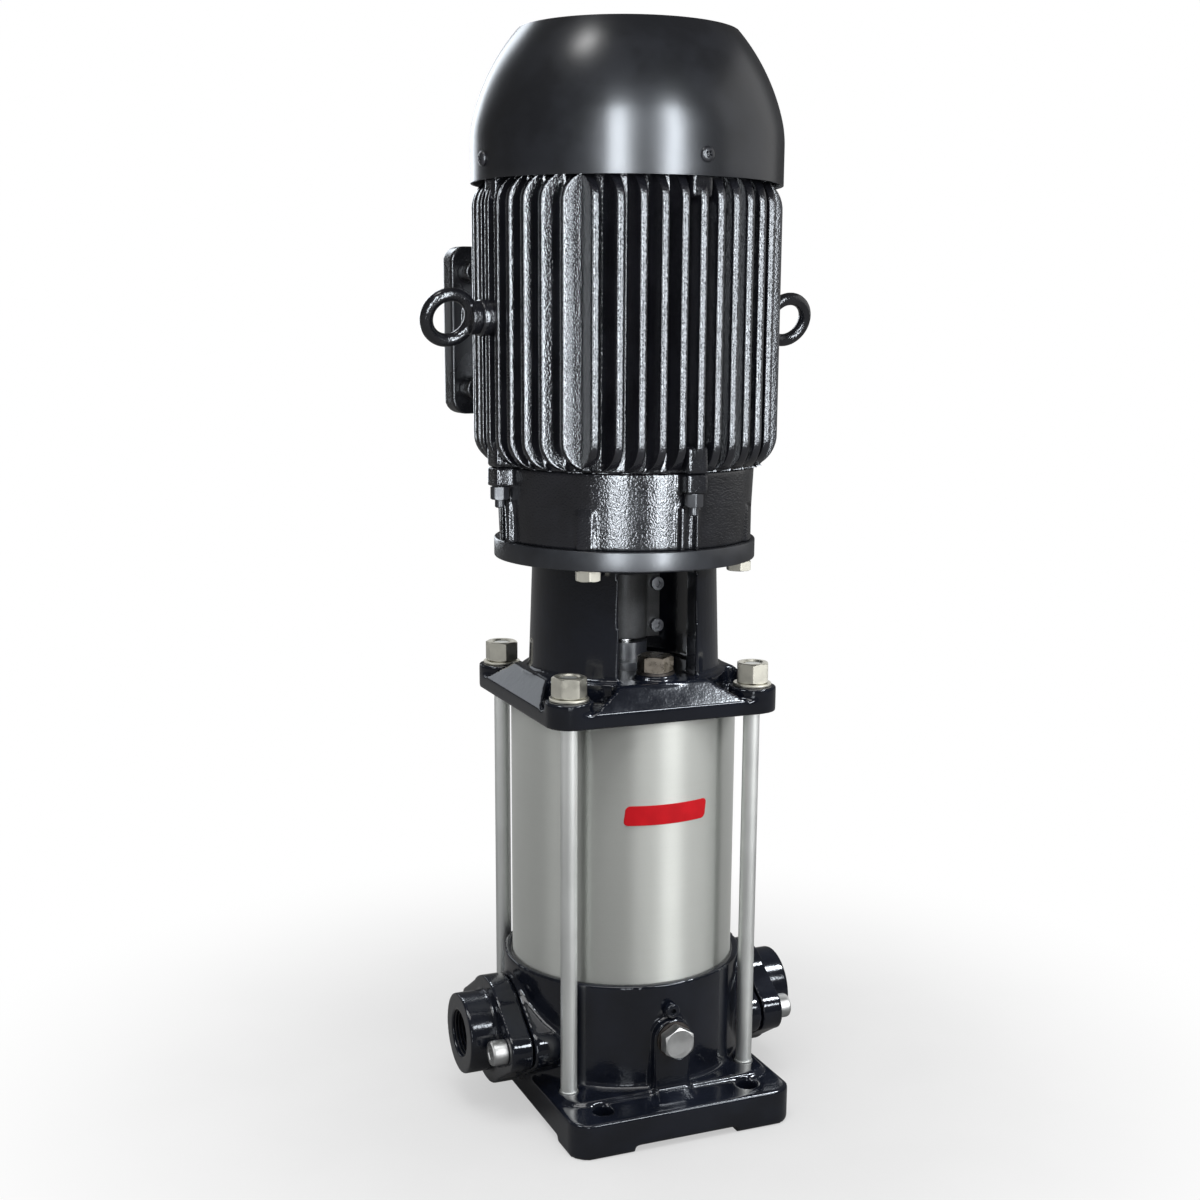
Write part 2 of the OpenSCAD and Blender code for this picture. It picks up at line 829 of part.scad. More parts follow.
// Wall of the bush's holder
bush_holder_wall = 3;
// Width and height of the inlet plate's arms
inlet_arm_w = 8;
inlet_arm_h = 7;
// Number of the inlet plate's arms
inlet_arm_count = 3;
// Radius of the inlet plate's opening
inlet_opening_r = 30;

module inlet_plate() {
  bush_r = pump_shaft_r + fit + bush_wall;
  holder_r = bush_r + bush_holder_wall;
  color("#a3a4a2")
    difference() {
      union() {
        ring(chamber_r, inlet_opening_r, ledge_z, inlet_plate_t);
        translate([0, 0, ledge_z - bush_holder_l])
          cylinder(h = bush_holder_l + inlet_plate_t, r = holder_r);
        around(inlet_arm_count, 0)
          translate([0, -inlet_arm_w / 2, stage_z - inlet_arm_h])
            cube([inlet_opening_r + root, inlet_arm_w, inlet_arm_h]);
      }
      translate([0, 0, ledge_z - bush_holder_l - cut])
        cylinder(h = bush_holder_l + inlet_plate_t + 2 * cut, r = bush_r + fit);
    }
}

module lower_bearing_bush() {
  color("#5a5a5c")
    ring(pump_shaft_r + fit + bush_wall, pump_shaft_r + fit, stage_z - bush_l, bush_l);
}

// Height of an impeller's hub foot above the underside of its stage
hub_foot = 5;
// Height of an impeller's front shroud above the underside of its stage
shroud_foot = 8;
// Length of the impeller eye's skirt
eye_skirt_l = 7;
// Lean of the impeller vanes, in degrees
impeller_vane_lean = 40;
// Radius at which the impeller vanes start
impeller_vane_start_r = 19.5;

module impeller(i) {
  eye_r = neck_ring_r - neck_ring_t - eye_gap;
  hub_l = i < stage_count ? stage_pitch : last_hub_l;
  back_z = shroud_foot + shroud_t + impeller_vane_h;
  color("#b98d4f")
    translate([0, 0, stage_bottom(i)]) {
      ring(eye_r, eye_r - eye_wall, shroud_foot - eye_skirt_l, eye_skirt_l + shroud_t);
      ring(impeller_r, eye_r - eye_wall, shroud_foot, shroud_t);
      ring(impeller_r, pump_shaft_r + fit, back_z, shroud_t);
      ring(impeller_hub_r, pump_shaft_r + fit, hub_foot, hub_l);
      intersection() {
        around(impeller_vane_count, impeller_vane_start_r)
          rotate(-impeller_vane_lean)
            translate([0, -impeller_vane_t / 2, shroud_foot + shroud_t / 2])
              cube([impeller_r, impeller_vane_t, impeller_vane_h + shroud_t]);
        cylinder(h = stage_pitch, r = impeller_r);
      }
    }
}

// Height of the impeller nut's underside
nut_z = stage_bottom(stage_count) + hub_foot + last_hub_l;
// Heights of the seal parts, from the gland downward
gland_foot_z = hub_z - gland_spigot_h;
seat_ring_z = gland_foot_z;
seal_face_gap = 0.05;
seal_ring_z = seat_ring_z - seal_face_gap - seal_ring_t;
// Radial clearance of the shaft in the gland
gland_gap = 1;
// Radial wall of the bellows at its narrow and wide turns
bellows_wall = 3;
bellows_rib = 1.6;
// Number of the bellows' turns
bellows_turns = 3;

module impeller_nut() {
  color("#b9b9b6")
    difference() {
      translate([0, 0, nut_z])
        hex(impeller_nut_af, impeller_nut_h);
      translate([0, 0, nut_z - cut])
        cylinder(h = impeller_nut_h + 2 * cut, r = pump_shaft_r + fit);
    }
}

module seal_bellows() {
  foot_z = nut_z + impeller_nut_h;
  h = seal_ring_z - foot_z;
  turn_h = h / bellows_turns;
  color("#26282a") {
    ring(pump_shaft_r + fit + bellows_wall, pump_shaft_r + fit, foot_z, h);
    for (i = [0 : bellows_turns - 1])
      ring(pump_shaft_r + bellows_wall + bellows_rib, pump_shaft_r + bellows_wall / 2,
        foot_z + (i + 1 / 4) * turn_h, turn_h / 2);
  }
}

module seal_ring() {
  color("#3c3e42")
    ring(seal_ring_r, pump_shaft_r + fit, seal_ring_z, seal_ring_t);
}

module seal_seat() {
  color("#dcdcd4")
    ring(seat_ring_r, pump_shaft_r + gland_gap, seat_ring_z, seat_ring_t);
}

module seal_gland() {
  color("#3a3c40")
    difference() {
      union() {
        translate([0, 0, gland_foot_z])
          cylinder(h = gland_spigot_h + cut, r = seal_bore_r - fit);
        translate([0, 0, hub_z])
          cylinder(h = gland_flange_t, r = gland_flange_r);
        translate([0, 0, hub_z])
          cylinder(h = gland_flange_t + gland_neck_h, r = gland_neck_r);
      }
      translate([0, 0, gland_foot_z - cut])
        cylinder(h = gland_spigot_h + gland_flange_t + gland_neck_h + 3 * cut,
          r = pump_shaft_r + gland_gap);
      translate([0, 0, gland_foot_z - cut])
        cylinder(h = seat_ring_t + cut, r = seat_ring_r + fit);
    }
}

// Height of the coupling and of the two shaft ends inside it
coupling_z = hub_z + gland_flange_t + gland_neck_h + coupling_lift;
shaft_end_gap = 2;
shaft_joint_z = coupling_z + coupling_l / 2;
// Length of pump shaft below the inlet plate
shaft_tail_l = 16;
// Radius and height of the shoulder under the first impeller
shoulder_r = 9.5;
shoulder_h = 3;

module pump_shaft() {
  bottom_z = stage_z - shaft_tail_l;
  color("#bdbdb8") {
    translate([0, 0, bottom_z])
      cylinder(h = shaft_joint_z - shaft_end_gap / 2 - bottom_z, r = pump_shaft_r);
    translate([0, 0, stage_z + hub_foot - shoulder_h])
      cylinder(h = shoulder_h, r = shoulder_r);
  }
}

// Half widths of the head's sloping sides at their lower and upper edges
facet_low_half = 52;
facet_top_half = 31;
// Inset of the sloping sides from edge to hub
facet_inset = 12.5;
// Inset of the head's hub from its bottom edge
head_side = head_half;

// One sloping side of the head, on the -Y side
module head_facet() {
  intersection() {
    rotate([90, 0, 90])
      translate([0, 0, -head_half])
        linear_extrude(2 * head_half)
          polygon([
            [0, head_z], [-head_side, head_z], [-head_side, head_z + head_edge_t],
            [facet_inset - head_side, hub_z], [0, hub_z]
          ]);
    translate([0, 0, head_z])
      linear_extrude(head_hub_h)
        polygon([
          [-facet_low_half, -head_half], [facet_low_half, -head_half],
          [facet_top_half, facet_inset - head_half], [facet_top_half, 0],
          [-facet_top_half, 0], [-facet_top_half, facet_inset - head_half]
        ]);
  }
}

// Lantern walls before the windows are cut
module lantern_outside() {
  rotate_extrude()
    polygon([
      [lantern_in_r, hub_z - root], [lantern_foot_r, hub_z - root], [lantern_foot_r, hub_z],
      [lantern_top_r, lantern_z], [lantern_in_r, lantern_z]
    ]);
}

// Length of the screws between ring and lantern inside the lantern wall
adapter_screw_grip = 15;
// Head radius and height of the screws between ring and lantern
adapter_screw_head_r = 5;
adapter_screw_head_h = 6;

module pump_head() {
  color("#15161a")
    difference() {
      union() {
        translate([0, 0, head_z])
          linear_extrude(head_edge_t)
            round_rect(2 * head_half, 2 * head_half, head_corner_r);
        at_rods()
          translate([0, 0, head_z])
            cylinder(h = head_corner_t, r = head_half - rod_offset);
        translate([0, 0, head_z])
          cylinder(h = head_hub_h, r = head_hub_r);
        for (a = [0 : 90 : 270])
          rotate(a)
            head_facet();
        translate([0, -priming_y, hub_z - root])
          cylinder(h = priming_boss_h + root, r = priming_boss_r);
        difference() {
          lantern_outside();
          translate([-window_w / 2, -lantern_foot_r - cut, hub_z])
            cube([window_w, 2 * lantern_foot_r + 2 * cut, lantern_h - lantern_ring_h]);
        }
      }
      translate([0, 0, head_z - cut])
        cylinder(h = head_cavity_h + cut, r = head_cavity_r);
      ring(sleeve_r + fit, sleeve_r - sleeve_t - fit, head_z - cut, head_groove_d + cut);
      translate([0, 0, head_z])
        cylinder(h = head_hub_h + cut, r = seal_bore_r);
      translate([0, -priming_y, head_z])
        cylinder(h = head_hub_h + priming_boss_h + cut, r = priming_thread_r + fit);
      at_rods()
        translate([0, 0, head_z - cut])
          cylinder(h = head_corner_t + 2 * cut, r = rod_thread_r + screw_play);
      around(4, adapter_screw_circle_r, corner_turn)
        translate([0, 0, lantern_z - adapter_screw_grip - root])
          cylinder(h = adapter_screw_grip + root + cut, r = adapter_screw_r + fit);
    }
}

module tie_rods() {
  nut_top_z = head_corner_z + rod_washer_t + rod_nut_h;
  color("#c2c2be")
    at_rods() {
      translate([0, 0, pad_z - rod_grip + root])
        cylinder(h = nut_top_z - rod_sink - pad_z + rod_grip - root, r = rod_r);
      translate([0, 0, pad_z - rod_grip + root])
        cylinder(h = rod_grip - root, r = rod_thread_r);
      translate([0, 0, head_z])
        cylinder(h = nut_top_z - rod_sink - head_z, r = rod_thread_r);
    }
}

module rod_nuts() {
  color("#c9c5b4")
    at_rods()
      translate([0, 0, head_corner_z + rod_washer_t])
        difference() {
          hex(rod_nut_af, rod_nut_h);
          translate([0, 0, -cut])
            cylinder(h = rod_nut_h + 2 * cut, r = rod_thread_r + fit);
        }
}

module rod_washers() {
  color("#c9c5b4")
    at_rods()
      ring(rod_washer_r, rod_thread_r + screw_play, head_corner_z, rod_washer_t);
}

module priming_plug() {
  color("#9a8f82")
    translate([0, -priming_y, hub_z + priming_boss_h + plug_seal_t]) {
      hex(priming_hex_af, priming_hex_h);
      translate([0, 0, -priming_thread_l])
        cylinder(h = priming_thread_l, r = priming_thread_r);
    }
}

// Heights of the two coupling screw rows, as shares of the coupling's length
coupling_row_shares = [0.18, 0.82];

// Places of the coupling screws, pointing along -Y
module at_coupling_screws() {
  for (s = [-1, 1], row = coupling_row_shares)
    translate([s * (coupling_r + coupling_ear_w) / 2, 0, coupling_z + row * coupling_l])
      rotate([90, 0, 0])
        children();
}

// One half of the split coupling, on side 1 for the rear or -1 for the front
module coupling_half(side) {
  reach = coupling_r + coupling_split + cut;
  difference() {
    union() {
      translate([0, 0, coupling_z])
        cylinder(h = coupling_l, r = coupling_r);
      translate([-coupling_ear_w, -coupling_ear_t / 2, coupling_z])
        cube([2 * coupling_ear_w, coupling_ear_t, coupling_l]);
    }
    translate([0, -side * (reach - coupling_split) / 2, shaft_joint_z])
      cube([2 * (coupling_ear_w + cut), reach, coupling_l + 2 * cut], center = true);
    translate([0, 0, coupling_z - cut])
      cylinder(h = coupling_l / 2 + cut, r = pump_shaft_r + fit);
    translate([0, 0, shaft_joint_z - cut])
      cylinder(h = coupling_l / 2 + 2 * cut, r = motor_shaft_end_r + fit);
    at_coupling_screws()
      translate([0, 0, -coupling_ear_t])
        cylinder(h = 2 * coupling_ear_t, r = coupling_screw_r + fit);
  }
}

module coupling_half_front() {
  color("#6c6e70")
    coupling_half(-1);
}

module coupling_half_rear() {
  color("#6c6e70")
    coupling_half(1);
}

// Head radius and height of the coupling screws, and their sockets
coupling_screw_head_r = 4.2;
coupling_screw_head_h = 4;
coupling_screw_socket_af = 4;
coupling_screw_socket_d = 2.4;

module coupling_screws() {
  color("#33353a")
    at_coupling_screws()
      translate([0, 0, coupling_ear_t / 2])
        socket_screw(coupling_screw_r, coupling_ear_t, coupling_screw_head_r,
          coupling_screw_head_h, coupling_screw_socket_af, coupling_screw_socket_d);
}

module adapter_plate() {
  floor_h = adapter_t - register_h;
  color("#2c2d30")
    translate([0, 0, lantern_z])
      difference() {
        cylinder(h = adapter_t, r = adapter_r);
        translate([0, 0, -cut])
          cylinder(h = adapter_t + 2 * cut, r = adapter_bore_r);
        translate([0, 0, floor_h])
          cylinder(h = register_h + cut, r = register_r);
        around(4, adapter_screw_circle_r, corner_turn) {
          translate([0, 0, -cut])
            cylinder(h = adapter_t, r = adapter_screw_r + screw_play);
          translate([0, 0, floor_h - adapter_screw_head_h])
            cylinder(h = adapter_screw_head_h + cut, r = adapter_screw_head_r + fit);
        }
        around(4, flange_bolt_circle_r, corner_turn + motor_turn)
          translate([0, 0, -cut])
            cylinder(h = adapter_t + 2 * cut, r = flange_bolt_r + screw_play);
      }
}

// Socket of the screws between ring and lantern
adapter_screw_socket_af = 5;
adapter_screw_socket_d = 3;

module adapter_screws() {
  head_foot = adapter_t - register_h - adapter_screw_head_h;
  color("#3a3b3e")
    around(4, adapter_screw_circle_r, corner_turn)
      translate([0, 0, lantern_z + head_foot])
        socket_screw(adapter_screw_r, adapter_screw_grip + head_foot, adapter_screw_head_r,
          adapter_screw_head_h - fit, adapter_screw_socket_af, adapter_screw_socket_d);
}

// Length of the flange bolts inside the drive end shield
flange_bolt_grip = 20;

module flange_bolts() {
  color("#d4d2c6")
    around(4, flange_bolt_circle_r, corner_turn + motor_turn) {
      translate([0, 0, lantern_z - flange_bolt_head_h])
        rotate(hex_turn)
          hex(flange_bolt_af, flange_bolt_head_h);
      translate([0, 0, lantern_z])
        cylinder(h = adapter_t + flange_bolt_grip, r = flange_bolt_r);
    }
}

// Places of the four motor lugs, turned so that X points outward
first_lug = motor_turn;
// Length of the registers between frame and end shields
spigot_h = 6;
// Radial width of the registers
spigot_w = 4;
// Height of the lower bearing's seat above the ring
lower_bearing_z = motor_z + shield_floor_t;
// Wall of the bearing housings
housing_wall = 8;
// Radius of the shaft opening in the drive end shield
shield_opening_r = 14;
// Outer reach of the shield lugs
lug_reach_r = 91.5;
// Radius of the columns that take the flange bolts, and their reach beyond the shield's foot
bolt_column_r = 8;
bolt_column_reach = 2;
// Half distance, width and reach of the paired ribs under each lug
rib_half = 5;
rib_w = 2.5;
rib_reach_r = 83.5;

// A lug block that reaches out along X
module lug(z, h, inner_r, outer_r, w) {
  translate([inner_r, -w / 2, z])
    cube([outer_r - inner_r, w, h]);
}

module drive_end_shield() {
  wall_r = shield_foot_r - shield_wall;
  color("#141519")
    difference() {
      union() {
        difference() {
          rotate_extrude()
            polygon([
              [0, motor_z], [shield_foot_r, motor_z],
              [shield_top_r, frame_z], [0, frame_z]
            ]);
          translate([0, 0, lower_bearing_z])
            cylinder(h = shield_h, r = wall_r);
        }
        ring(register_r - fit, adapter_bore_r, motor_z - register_h + fit, register_h + root);
        ring(frame_bore_r - fit, wall_r - fit, frame_z - root, spigot_h + root);
        ring(lower_bearing_r + housing_wall, lower_bearing_r, lower_bearing_z - root,
          lower_bearing_w + 2 * root);
        around(4, flange_bolt_circle_r, corner_turn + motor_turn)
          intersection() {
            translate([0, 0, motor_z])
              cylinder(h = flange_bolt_grip + root, r = bolt_column_r);
            translate([-flange_bolt_circle_r, 0, motor_z])
              cylinder(h = flange_bolt_grip + root, r = shield_foot_r + bolt_column_reach);
          }
        around(4, 0, first_lug) {
          lug(frame_z - shield_lug_h, shield_lug_h, wall_r, lug_reach_r, shield_lug_w);
          for (s = [-1, 1])
            translate([0, s * rib_half, 0])
              lug(motor_z, shield_h - shield_lug_h - shield_bolt_head_h - run_gap,
                wall_r + root, rib_reach_r, rib_w);
        }
      }
      translate([0, 0, motor_z - register_h])
        cylinder(h = shield_h, r = shield_opening_r);
      translate([0, 0, lower_bearing_z])
        cylinder(h = shield_h, r = lower_bearing_r + fit);
      around(4, flange_bolt_circle_r, corner_turn + motor_turn)
        translate([0, 0, motor_z - cut])
          cylinder(h = flange_bolt_grip + cut, r = flange_bolt_r + fit);
      around(4, shield_bolt_circle_r, first_lug)
        translate([0, 0, motor_z])
          cylinder(h = shield_h + spigot_h + cut, r = shield_bolt_r + fit);
    }
}

// Height of the shield bolt heads and length of the tips beyond them
shield_bolt_head_h = 8;
shield_bolt_tip_l = 5;
// Length of the shield bolts inside the frame
shield_bolt_grip = 12;
// Thickness of the rear shield's lugs
rear_lug_h = 15;

module shield_bolts() {
  color("#1d1e22") {
    around(4, shield_bolt_circle_r, first_lug)
      translate([0, 0, frame_z - shield_lug_h - shield_bolt_head_h]) {
        rotate(hex_turn)
          hex(shield_bolt_af, shield_bolt_head_h);
        translate([0, 0, -shield_bolt_tip_l])
          cylinder(h = shield_bolt_tip_l + shield_bolt_head_h + shield_lug_h + shield_bolt_grip,
            r = shield_bolt_r);
      }
    around(4, rear_bolt_circle_r, first_lug)
      translate([0, 0, frame_top_z + rear_lug_h]) {
        rotate(hex_turn)
          hex(shield_bolt_af, shield_bolt_head_h);
        translate([0, 0, -rear_lug_h - shield_bolt_grip])
          cylinder(h = rear_lug_h + shield_bolt_grip, r = shield_bolt_r);
      }
  }
}

// Height of the lugs at both ends of the frame
frame_lug_h = 16;

// Length of the stator core
stator_l = frame_l - stator_z - stator_end_gap;

// Rounded envelope that trims the fins
module fin_envelope() {
  inner = fin_tip_r - fin_end_r;
  rotate_extrude() {
    translate([0, frame_z])
      square([inner, frame_l]);
    translate([0, frame_z + fin_end_r])
      square([fin_tip_r, frame_l - 2 * fin_end_r]);
    for (z = [frame_z + fin_end_r, frame_top_z - fin_end_r])
      translate([inner, z])
        intersection() {
          circle(fin_end_r);
          translate([0, -fin_end_r])
            square([fin_end_r, 2 * fin_end_r]);
        }
  }
}

// Plan of the fins: four groups of parallel fins
module fin_plan() {
  for (a = [0 : 90 : 270], i = [-fin_side_count : fin_side_count])
    rotate(a + motor_turn)
      translate([frame_bore_r / 2, i * fin_pitch - fin_t / 2])
        square([fin_tip_r - frame_bore_r / 2 + cut, fin_t]);
}

// Radius of the bosses that carry the eye bolts
eye_boss_r = 11;
// Depth of the eye bolts' thread
eye_grip = 14;

module motor_frame() {
  color("#141519")
    difference() {
      union() {
        translate([0, 0, frame_z])
          cylinder(h = frame_l, r = frame_r);
        intersection() {
          fin_envelope();
          translate([0, 0, frame_z])
            linear_extrude(frame_l)
              fin_plan();
        }
        around(4, 0, first_lug)
          for (z = [frame_z, frame_top_z - frame_lug_h])
            lug(z, frame_lug_h, frame_bore_r + root, lug_reach_r, shield_lug_w);
        rotate(motor_turn) {
          for (s = [-1, 1])
            translate([0, 0, frame_z + eye_z])
              rotate([0, s * 90, 0])
                cylinder(h = eye_seat_x, r = eye_boss_r);
          translate([-box_w / 2 + box_wall, 0, frame_z + box_z - box_h / 2 + box_wall])
            cube([box_w - 2 * box_wall, box_y, box_h - 2 * box_wall]);
        }
      }
      translate([0, 0, frame_z - cut])
        cylinder(h = frame_l + 2 * cut, r = frame_bore_r);
      around(4, shield_bolt_circle_r, first_lug)
        translate([0, 0, frame_z - cut])
          cylinder(h = shield_bolt_grip + root + cut, r = shield_bolt_r + fit);
      around(4, rear_bolt_circle_r, first_lug)
        translate([0, 0, frame_top_z - shield_bolt_grip - root])
          cylinder(h = shield_bolt_grip + root + cut, r = shield_bolt_r + fit);
      rotate(motor_turn) {
        for (s = [-1, 1])
          translate([0, 0, frame_z + eye_z])
            rotate([0, s * 90, 0])
              translate([0, 0, eye_seat_x - eye_grip - root])
                cylinder(h = eye_grip + root + cut, r = eye_thread_r + fit);
        lead_hole(frame_bore_r - root, box_y + cut);
      }
    }
}

// Radius of the hole that leads the winding ends into the terminal box
lead_hole_r = 14;
// Drop of the lead hole below the box's middle
lead_hole_drop = 22;

// Hole along Y for the winding ends
module lead_hole(y_from, y_to) {
  translate([0, y_from, frame_z + box_z - lead_hole_drop])
    rotate([-90, 0, 0])
      cylinder(h = y_to - y_from, r = lead_hole_r);
}

module stator_core() {
  color("#7d7f83")
    ring(frame_bore_r - fit, stator_bore_r, frame_z + stator_z, stator_l);
}

// Radial shares of the end windings between bore and core edge
winding_in_share = 0.2;
winding_out_share = 0.8;

module stator_windings() {
  span = frame_bore_r - stator_bore_r;
  color("#a4592f")
    for (z = [frame_z + stator_z - winding_h, frame_z + stator_z + stator_l])
      ring(stator_bore_r + winding_out_share * span, stator_bore_r + winding_in_share * span,
        z, winding_h);
}

// Height and inset of the rotor's end rings
end_ring_h = 9;
end_ring_inset = 3;
end_ring_w = 12;

module rotor_core() {
  core_r = stator_bore_r - air_gap;
  core_z = frame_z + stator_z;
  ring_out = core_r - end_ring_inset;
  color("#8f9093") {
    ring(core_r, motor_shaft_r + fit, core_z, stator_l);
    for (z = [core_z - end_ring_h, core_z + stator_l])
      ring(ring_out, ring_out - end_ring_w, z, end_ring_h);
  }
}

// Heights of the upper bearing, the fan and the shaft's top end
upper_bearing_z = frame_top_z + 1;
fan_lift = 27;
fan_z = frame_top_z + fan_lift;
fan_hub_h = 34;
shaft_step = 2;
fan_shaft_r = 8;
// Clearance of the shaft shoulders from the bearings
shaft_top_z = fan_z + fan_hub_h + shaft_step;

module motor_shaft() {
  bottom_z = shaft_joint_z + shaft_end_gap / 2;
  lower_top_z = lower_bearing_z + lower_bearing_w;
  upper_top_z = upper_bearing_z + upper_bearing_w;
  color("#bdbdb8")
    rotate_extrude()
      polygon([
        [0, bottom_z], [motor_shaft_end_r, bottom_z], [motor_shaft_end_r, lower_bearing_z],
        [lower_bearing_bore_r, lower_bearing_z], [lower_bearing_bore_r, lower_top_z],
        [motor_shaft_r, lower_top_z], [motor_shaft_r, upper_bearing_z - end_ring_w],
        [upper_bearing_bore_r + shaft_step, upper_bearing_z - end_ring_w],
        [upper_bearing_bore_r + shaft_step, upper_bearing_z],
        [upper_bearing_bore_r, upper_bearing_z], [upper_bearing_bore_r, upper_top_z],
        [fan_shaft_r, upper_top_z], [fan_shaft_r, shaft_top_z], [0, shaft_top_z]
      ]);
}

// Radial thickness of the bearing rings
bearing_ring_t = 3.7;
// Clearance between balls and grooves
ball_gap = 0.3;

// The two rings of a ball bearing, the inner when part is 0 and the outer when it is 1
module bearing_ring(bore_r, out_r, w, ball_r, z, part) {
  mid_r = (bore_r + out_r) / 2;
  difference() {
    if (part == 0)
      ring(bore_r + bearing_ring_t, bore_r + fit, z, w);
    else
      ring(out_r, out_r - bearing_ring_t, z, w);
    translate([0, 0, z + w / 2])
      rotate_extrude()
        translate([mid_r, 0])
          circle(ball_r + ball_gap);
  }
}

module bearing_inner_rings() {
  color("#c6c8ca") {
    bearing_ring(lower_bearing_bore_r, lower_bearing_r, lower_bearing_w, lower_ball_r,
      lower_bearing_z, 0);
    bearing_ring(upper_bearing_bore_r, upper_bearing_r, upper_bearing_w, upper_ball_r,
      upper_bearing_z, 0);
  }
}

module bearing_outer_rings() {
  color("#c6c8ca") {
    bearing_ring(lower_bearing_bore_r, lower_bearing_r, lower_bearing_w, lower_ball_r,
      lower_bearing_z, 1);
    bearing_ring(upper_bearing_bore_r, upper_bearing_r, upper_bearing_w, upper_ball_r,
      upper_bearing_z, 1);
  }
}

// Width and height of the cages that hold the balls
cage_w = 2;
cage_h = 2.4;

// Balls of one bearing joined by their cage
module ball_set(bore_r, out_r, w, ball_r, z) {
  mid_r = (bore_r + out_r) / 2;
  color("#d0d2d4") {
    around(ball_count, mid_r)
      translate([0, 0, z + w / 2])
        sphere(ball_r);
    ring(mid_r + cage_w / 2, mid_r - cage_w / 2, z + w / 2 - cage_h / 2, cage_h);
  }
}

module lower_bearing_balls() {
  ball_set(lower_bearing_bore_r, lower_bearing_r, lower_bearing_w, lower_ball_r, lower_bearing_z);
}

module upper_bearing_balls() {
  ball_set(upper_bearing_bore_r, upper_bearing_r, upper_bearing_w, upper_ball_r, upper_bearing_z);
}

// Thickness of the rear shield's plate
rear_plate_t = 6;
// Radius of the rear shield's opening for the fan hub
rear_opening_r = 16;
// Outer reach of the rear shield's lugs, just inside the cover
rear_lug_reach_r = cover_r - cover_t - run_gap;
// Thickness of the lip that holds the upper bearing
rear_lip_t = 2;
// Height and radius of the cover screws
cover_screw_z = frame_top_z + rear_lug_h / 2;
cover_screw_r = 2.5;
cover_screw_l = 8;

module rear_end_shield() {
  wall_r = frame_bore_r - spigot_w;
  hub_top_z = upper_bearing_z + upper_bearing_w;
  color("#1b1c20")
    difference() {
      union() {
        ring(frame_r, wall_r, frame_top_z, rear_lug_h);
        ring(frame_bore_r - fit, wall_r, frame_top_z - spigot_h, spigot_h + root);
        ring(wall_r + root, upper_bearing_r, hub_top_z - rear_plate_t, rear_plate_t);
        ring(upper_bearing_r + housing_wall, upper_bearing_r, frame_top_z,
          hub_top_z - frame_top_z);
        ring(upper_bearing_r + housing_wall, rear_opening_r, hub_top_z, rear_lip_t);
        around(4, 0, first_lug)
          lug(frame_top_z, rear_lug_h, wall_r + root, rear_lug_reach_r, shield_lug_w);
      }
      translate([0, 0, frame_top_z - cut])
        cylinder(h = hub_top_z - frame_top_z + cut, r = upper_bearing_r + fit);
      around(4, rear_bolt_circle_r, first_lug)
        translate([0, 0, frame_top_z - cut])
          cylinder(h = rear_lug_h + 2 * cut, r = shield_bolt_r + fit);
      around(4, cover_r - cover_screw_l - root, first_lug)
        translate([0, 0, cover_screw_z])
          rotate([0, 90, 0])
            cylinder(h = cover_screw_l + root, r = cover_screw_r + fit);
    }
}

// Number and lean of the fan blades, and its other sizes
fan_blade_count = 7;
fan_disc_t = 3;
fan_hub_r = 14;
fan_blade_foot = 6;

module fan() {
  disc_z = fan_z + fan_blade_foot;
  color("#3c3f42") {
    ring(fan_hub_r, fan_shaft_r + fit, fan_z, fan_hub_h);
    ring(fan_r, fan_hub_r - root, disc_z, fan_disc_t);
    around(fan_blade_count, fan_hub_r - root)
      translate([0, -fan_blade_t / 2, disc_z + fan_disc_t / 2])
        cube([fan_r - fan_hub_r, fan_blade_t, fan_blade_h]);
  }
}

// Height where the cover's bend begins, and the two curve centres
bend_z = cover_z + cover_rim_h;
bend_centre = [cover_r - cover_bend_r, bend_z];
dome_centre = bend_centre + (cover_bend_r - cover_dome_r) * polar(1, cover_bend_slope);
dome_top_z = dome_centre[1] + cover_dome_r * sin(cover_edge_slope);
dome_top_r = dome_centre[0] + cover_dome_r * cos(cover_edge_slope);
// Radii of the grille's slots, as shares of the grille's radius
grille_shares = [0.26, 0.44, 0.62, 0.8];
// Width of each slot and of the spokes between them
grille_slot_w = 7;
grille_spoke_w = 5;
grille_spoke_count = 6;

// Solid inside the cover's curve, moved inward by a wall thickness
module cover_solid(inset) {
  split_z = bend_z + (cover_bend_r - inset) * sin(cover_bend_slope);
  rotate_extrude() {
    translate([0, cover_z - inset])
      square([cover_r - inset, cover_rim_h + inset]);
    intersection() {
      translate(bend_centre)
        circle(cover_bend_r - inset);
      translate([0, bend_z])
        square([cover_r, split_z - bend_z]);
    }
    intersection() {
      translate(dome_centre)
        circle(cover_dome_r - inset);
      translate([0, split_z])
        square([cover_r, dome_top_z - inset - split_z]);
    }
  }
}

// Ring slots of the grille with spokes left between them
module grille_slots() {
  difference() {
    for (share = grille_shares)
      ring(share * dome_top_r + grille_slot_w / 2, share * dome_top_r - grille_slot_w / 2,
        dome_top_z - cover_t - cut, cover_t + 2 * cut);
    around(grille_spoke_count, 0)
      translate([0, -grille_spoke_w / 2, dome_top_z - cover_t - 2 * cut])
        cube([dome_top_r, grille_spoke_w, cover_t + 4 * cut]);
  }
}

module fan_cover() {
  color("#1e2023")
    difference() {
      cover_solid(0);
      cover_solid(cover_t);
      grille_slots();
      around(4, cover_r / 2, first_lug)
        translate([0, 0, cover_screw_z])
          rotate([0, 90, 0])
            cylinder(h = cover_r, r = cover_screw_r + screw_play);
    }
}

// Head radius and height of the cover screws
cover_screw_head_r = 4.4;
cover_screw_head_h = 2.4;

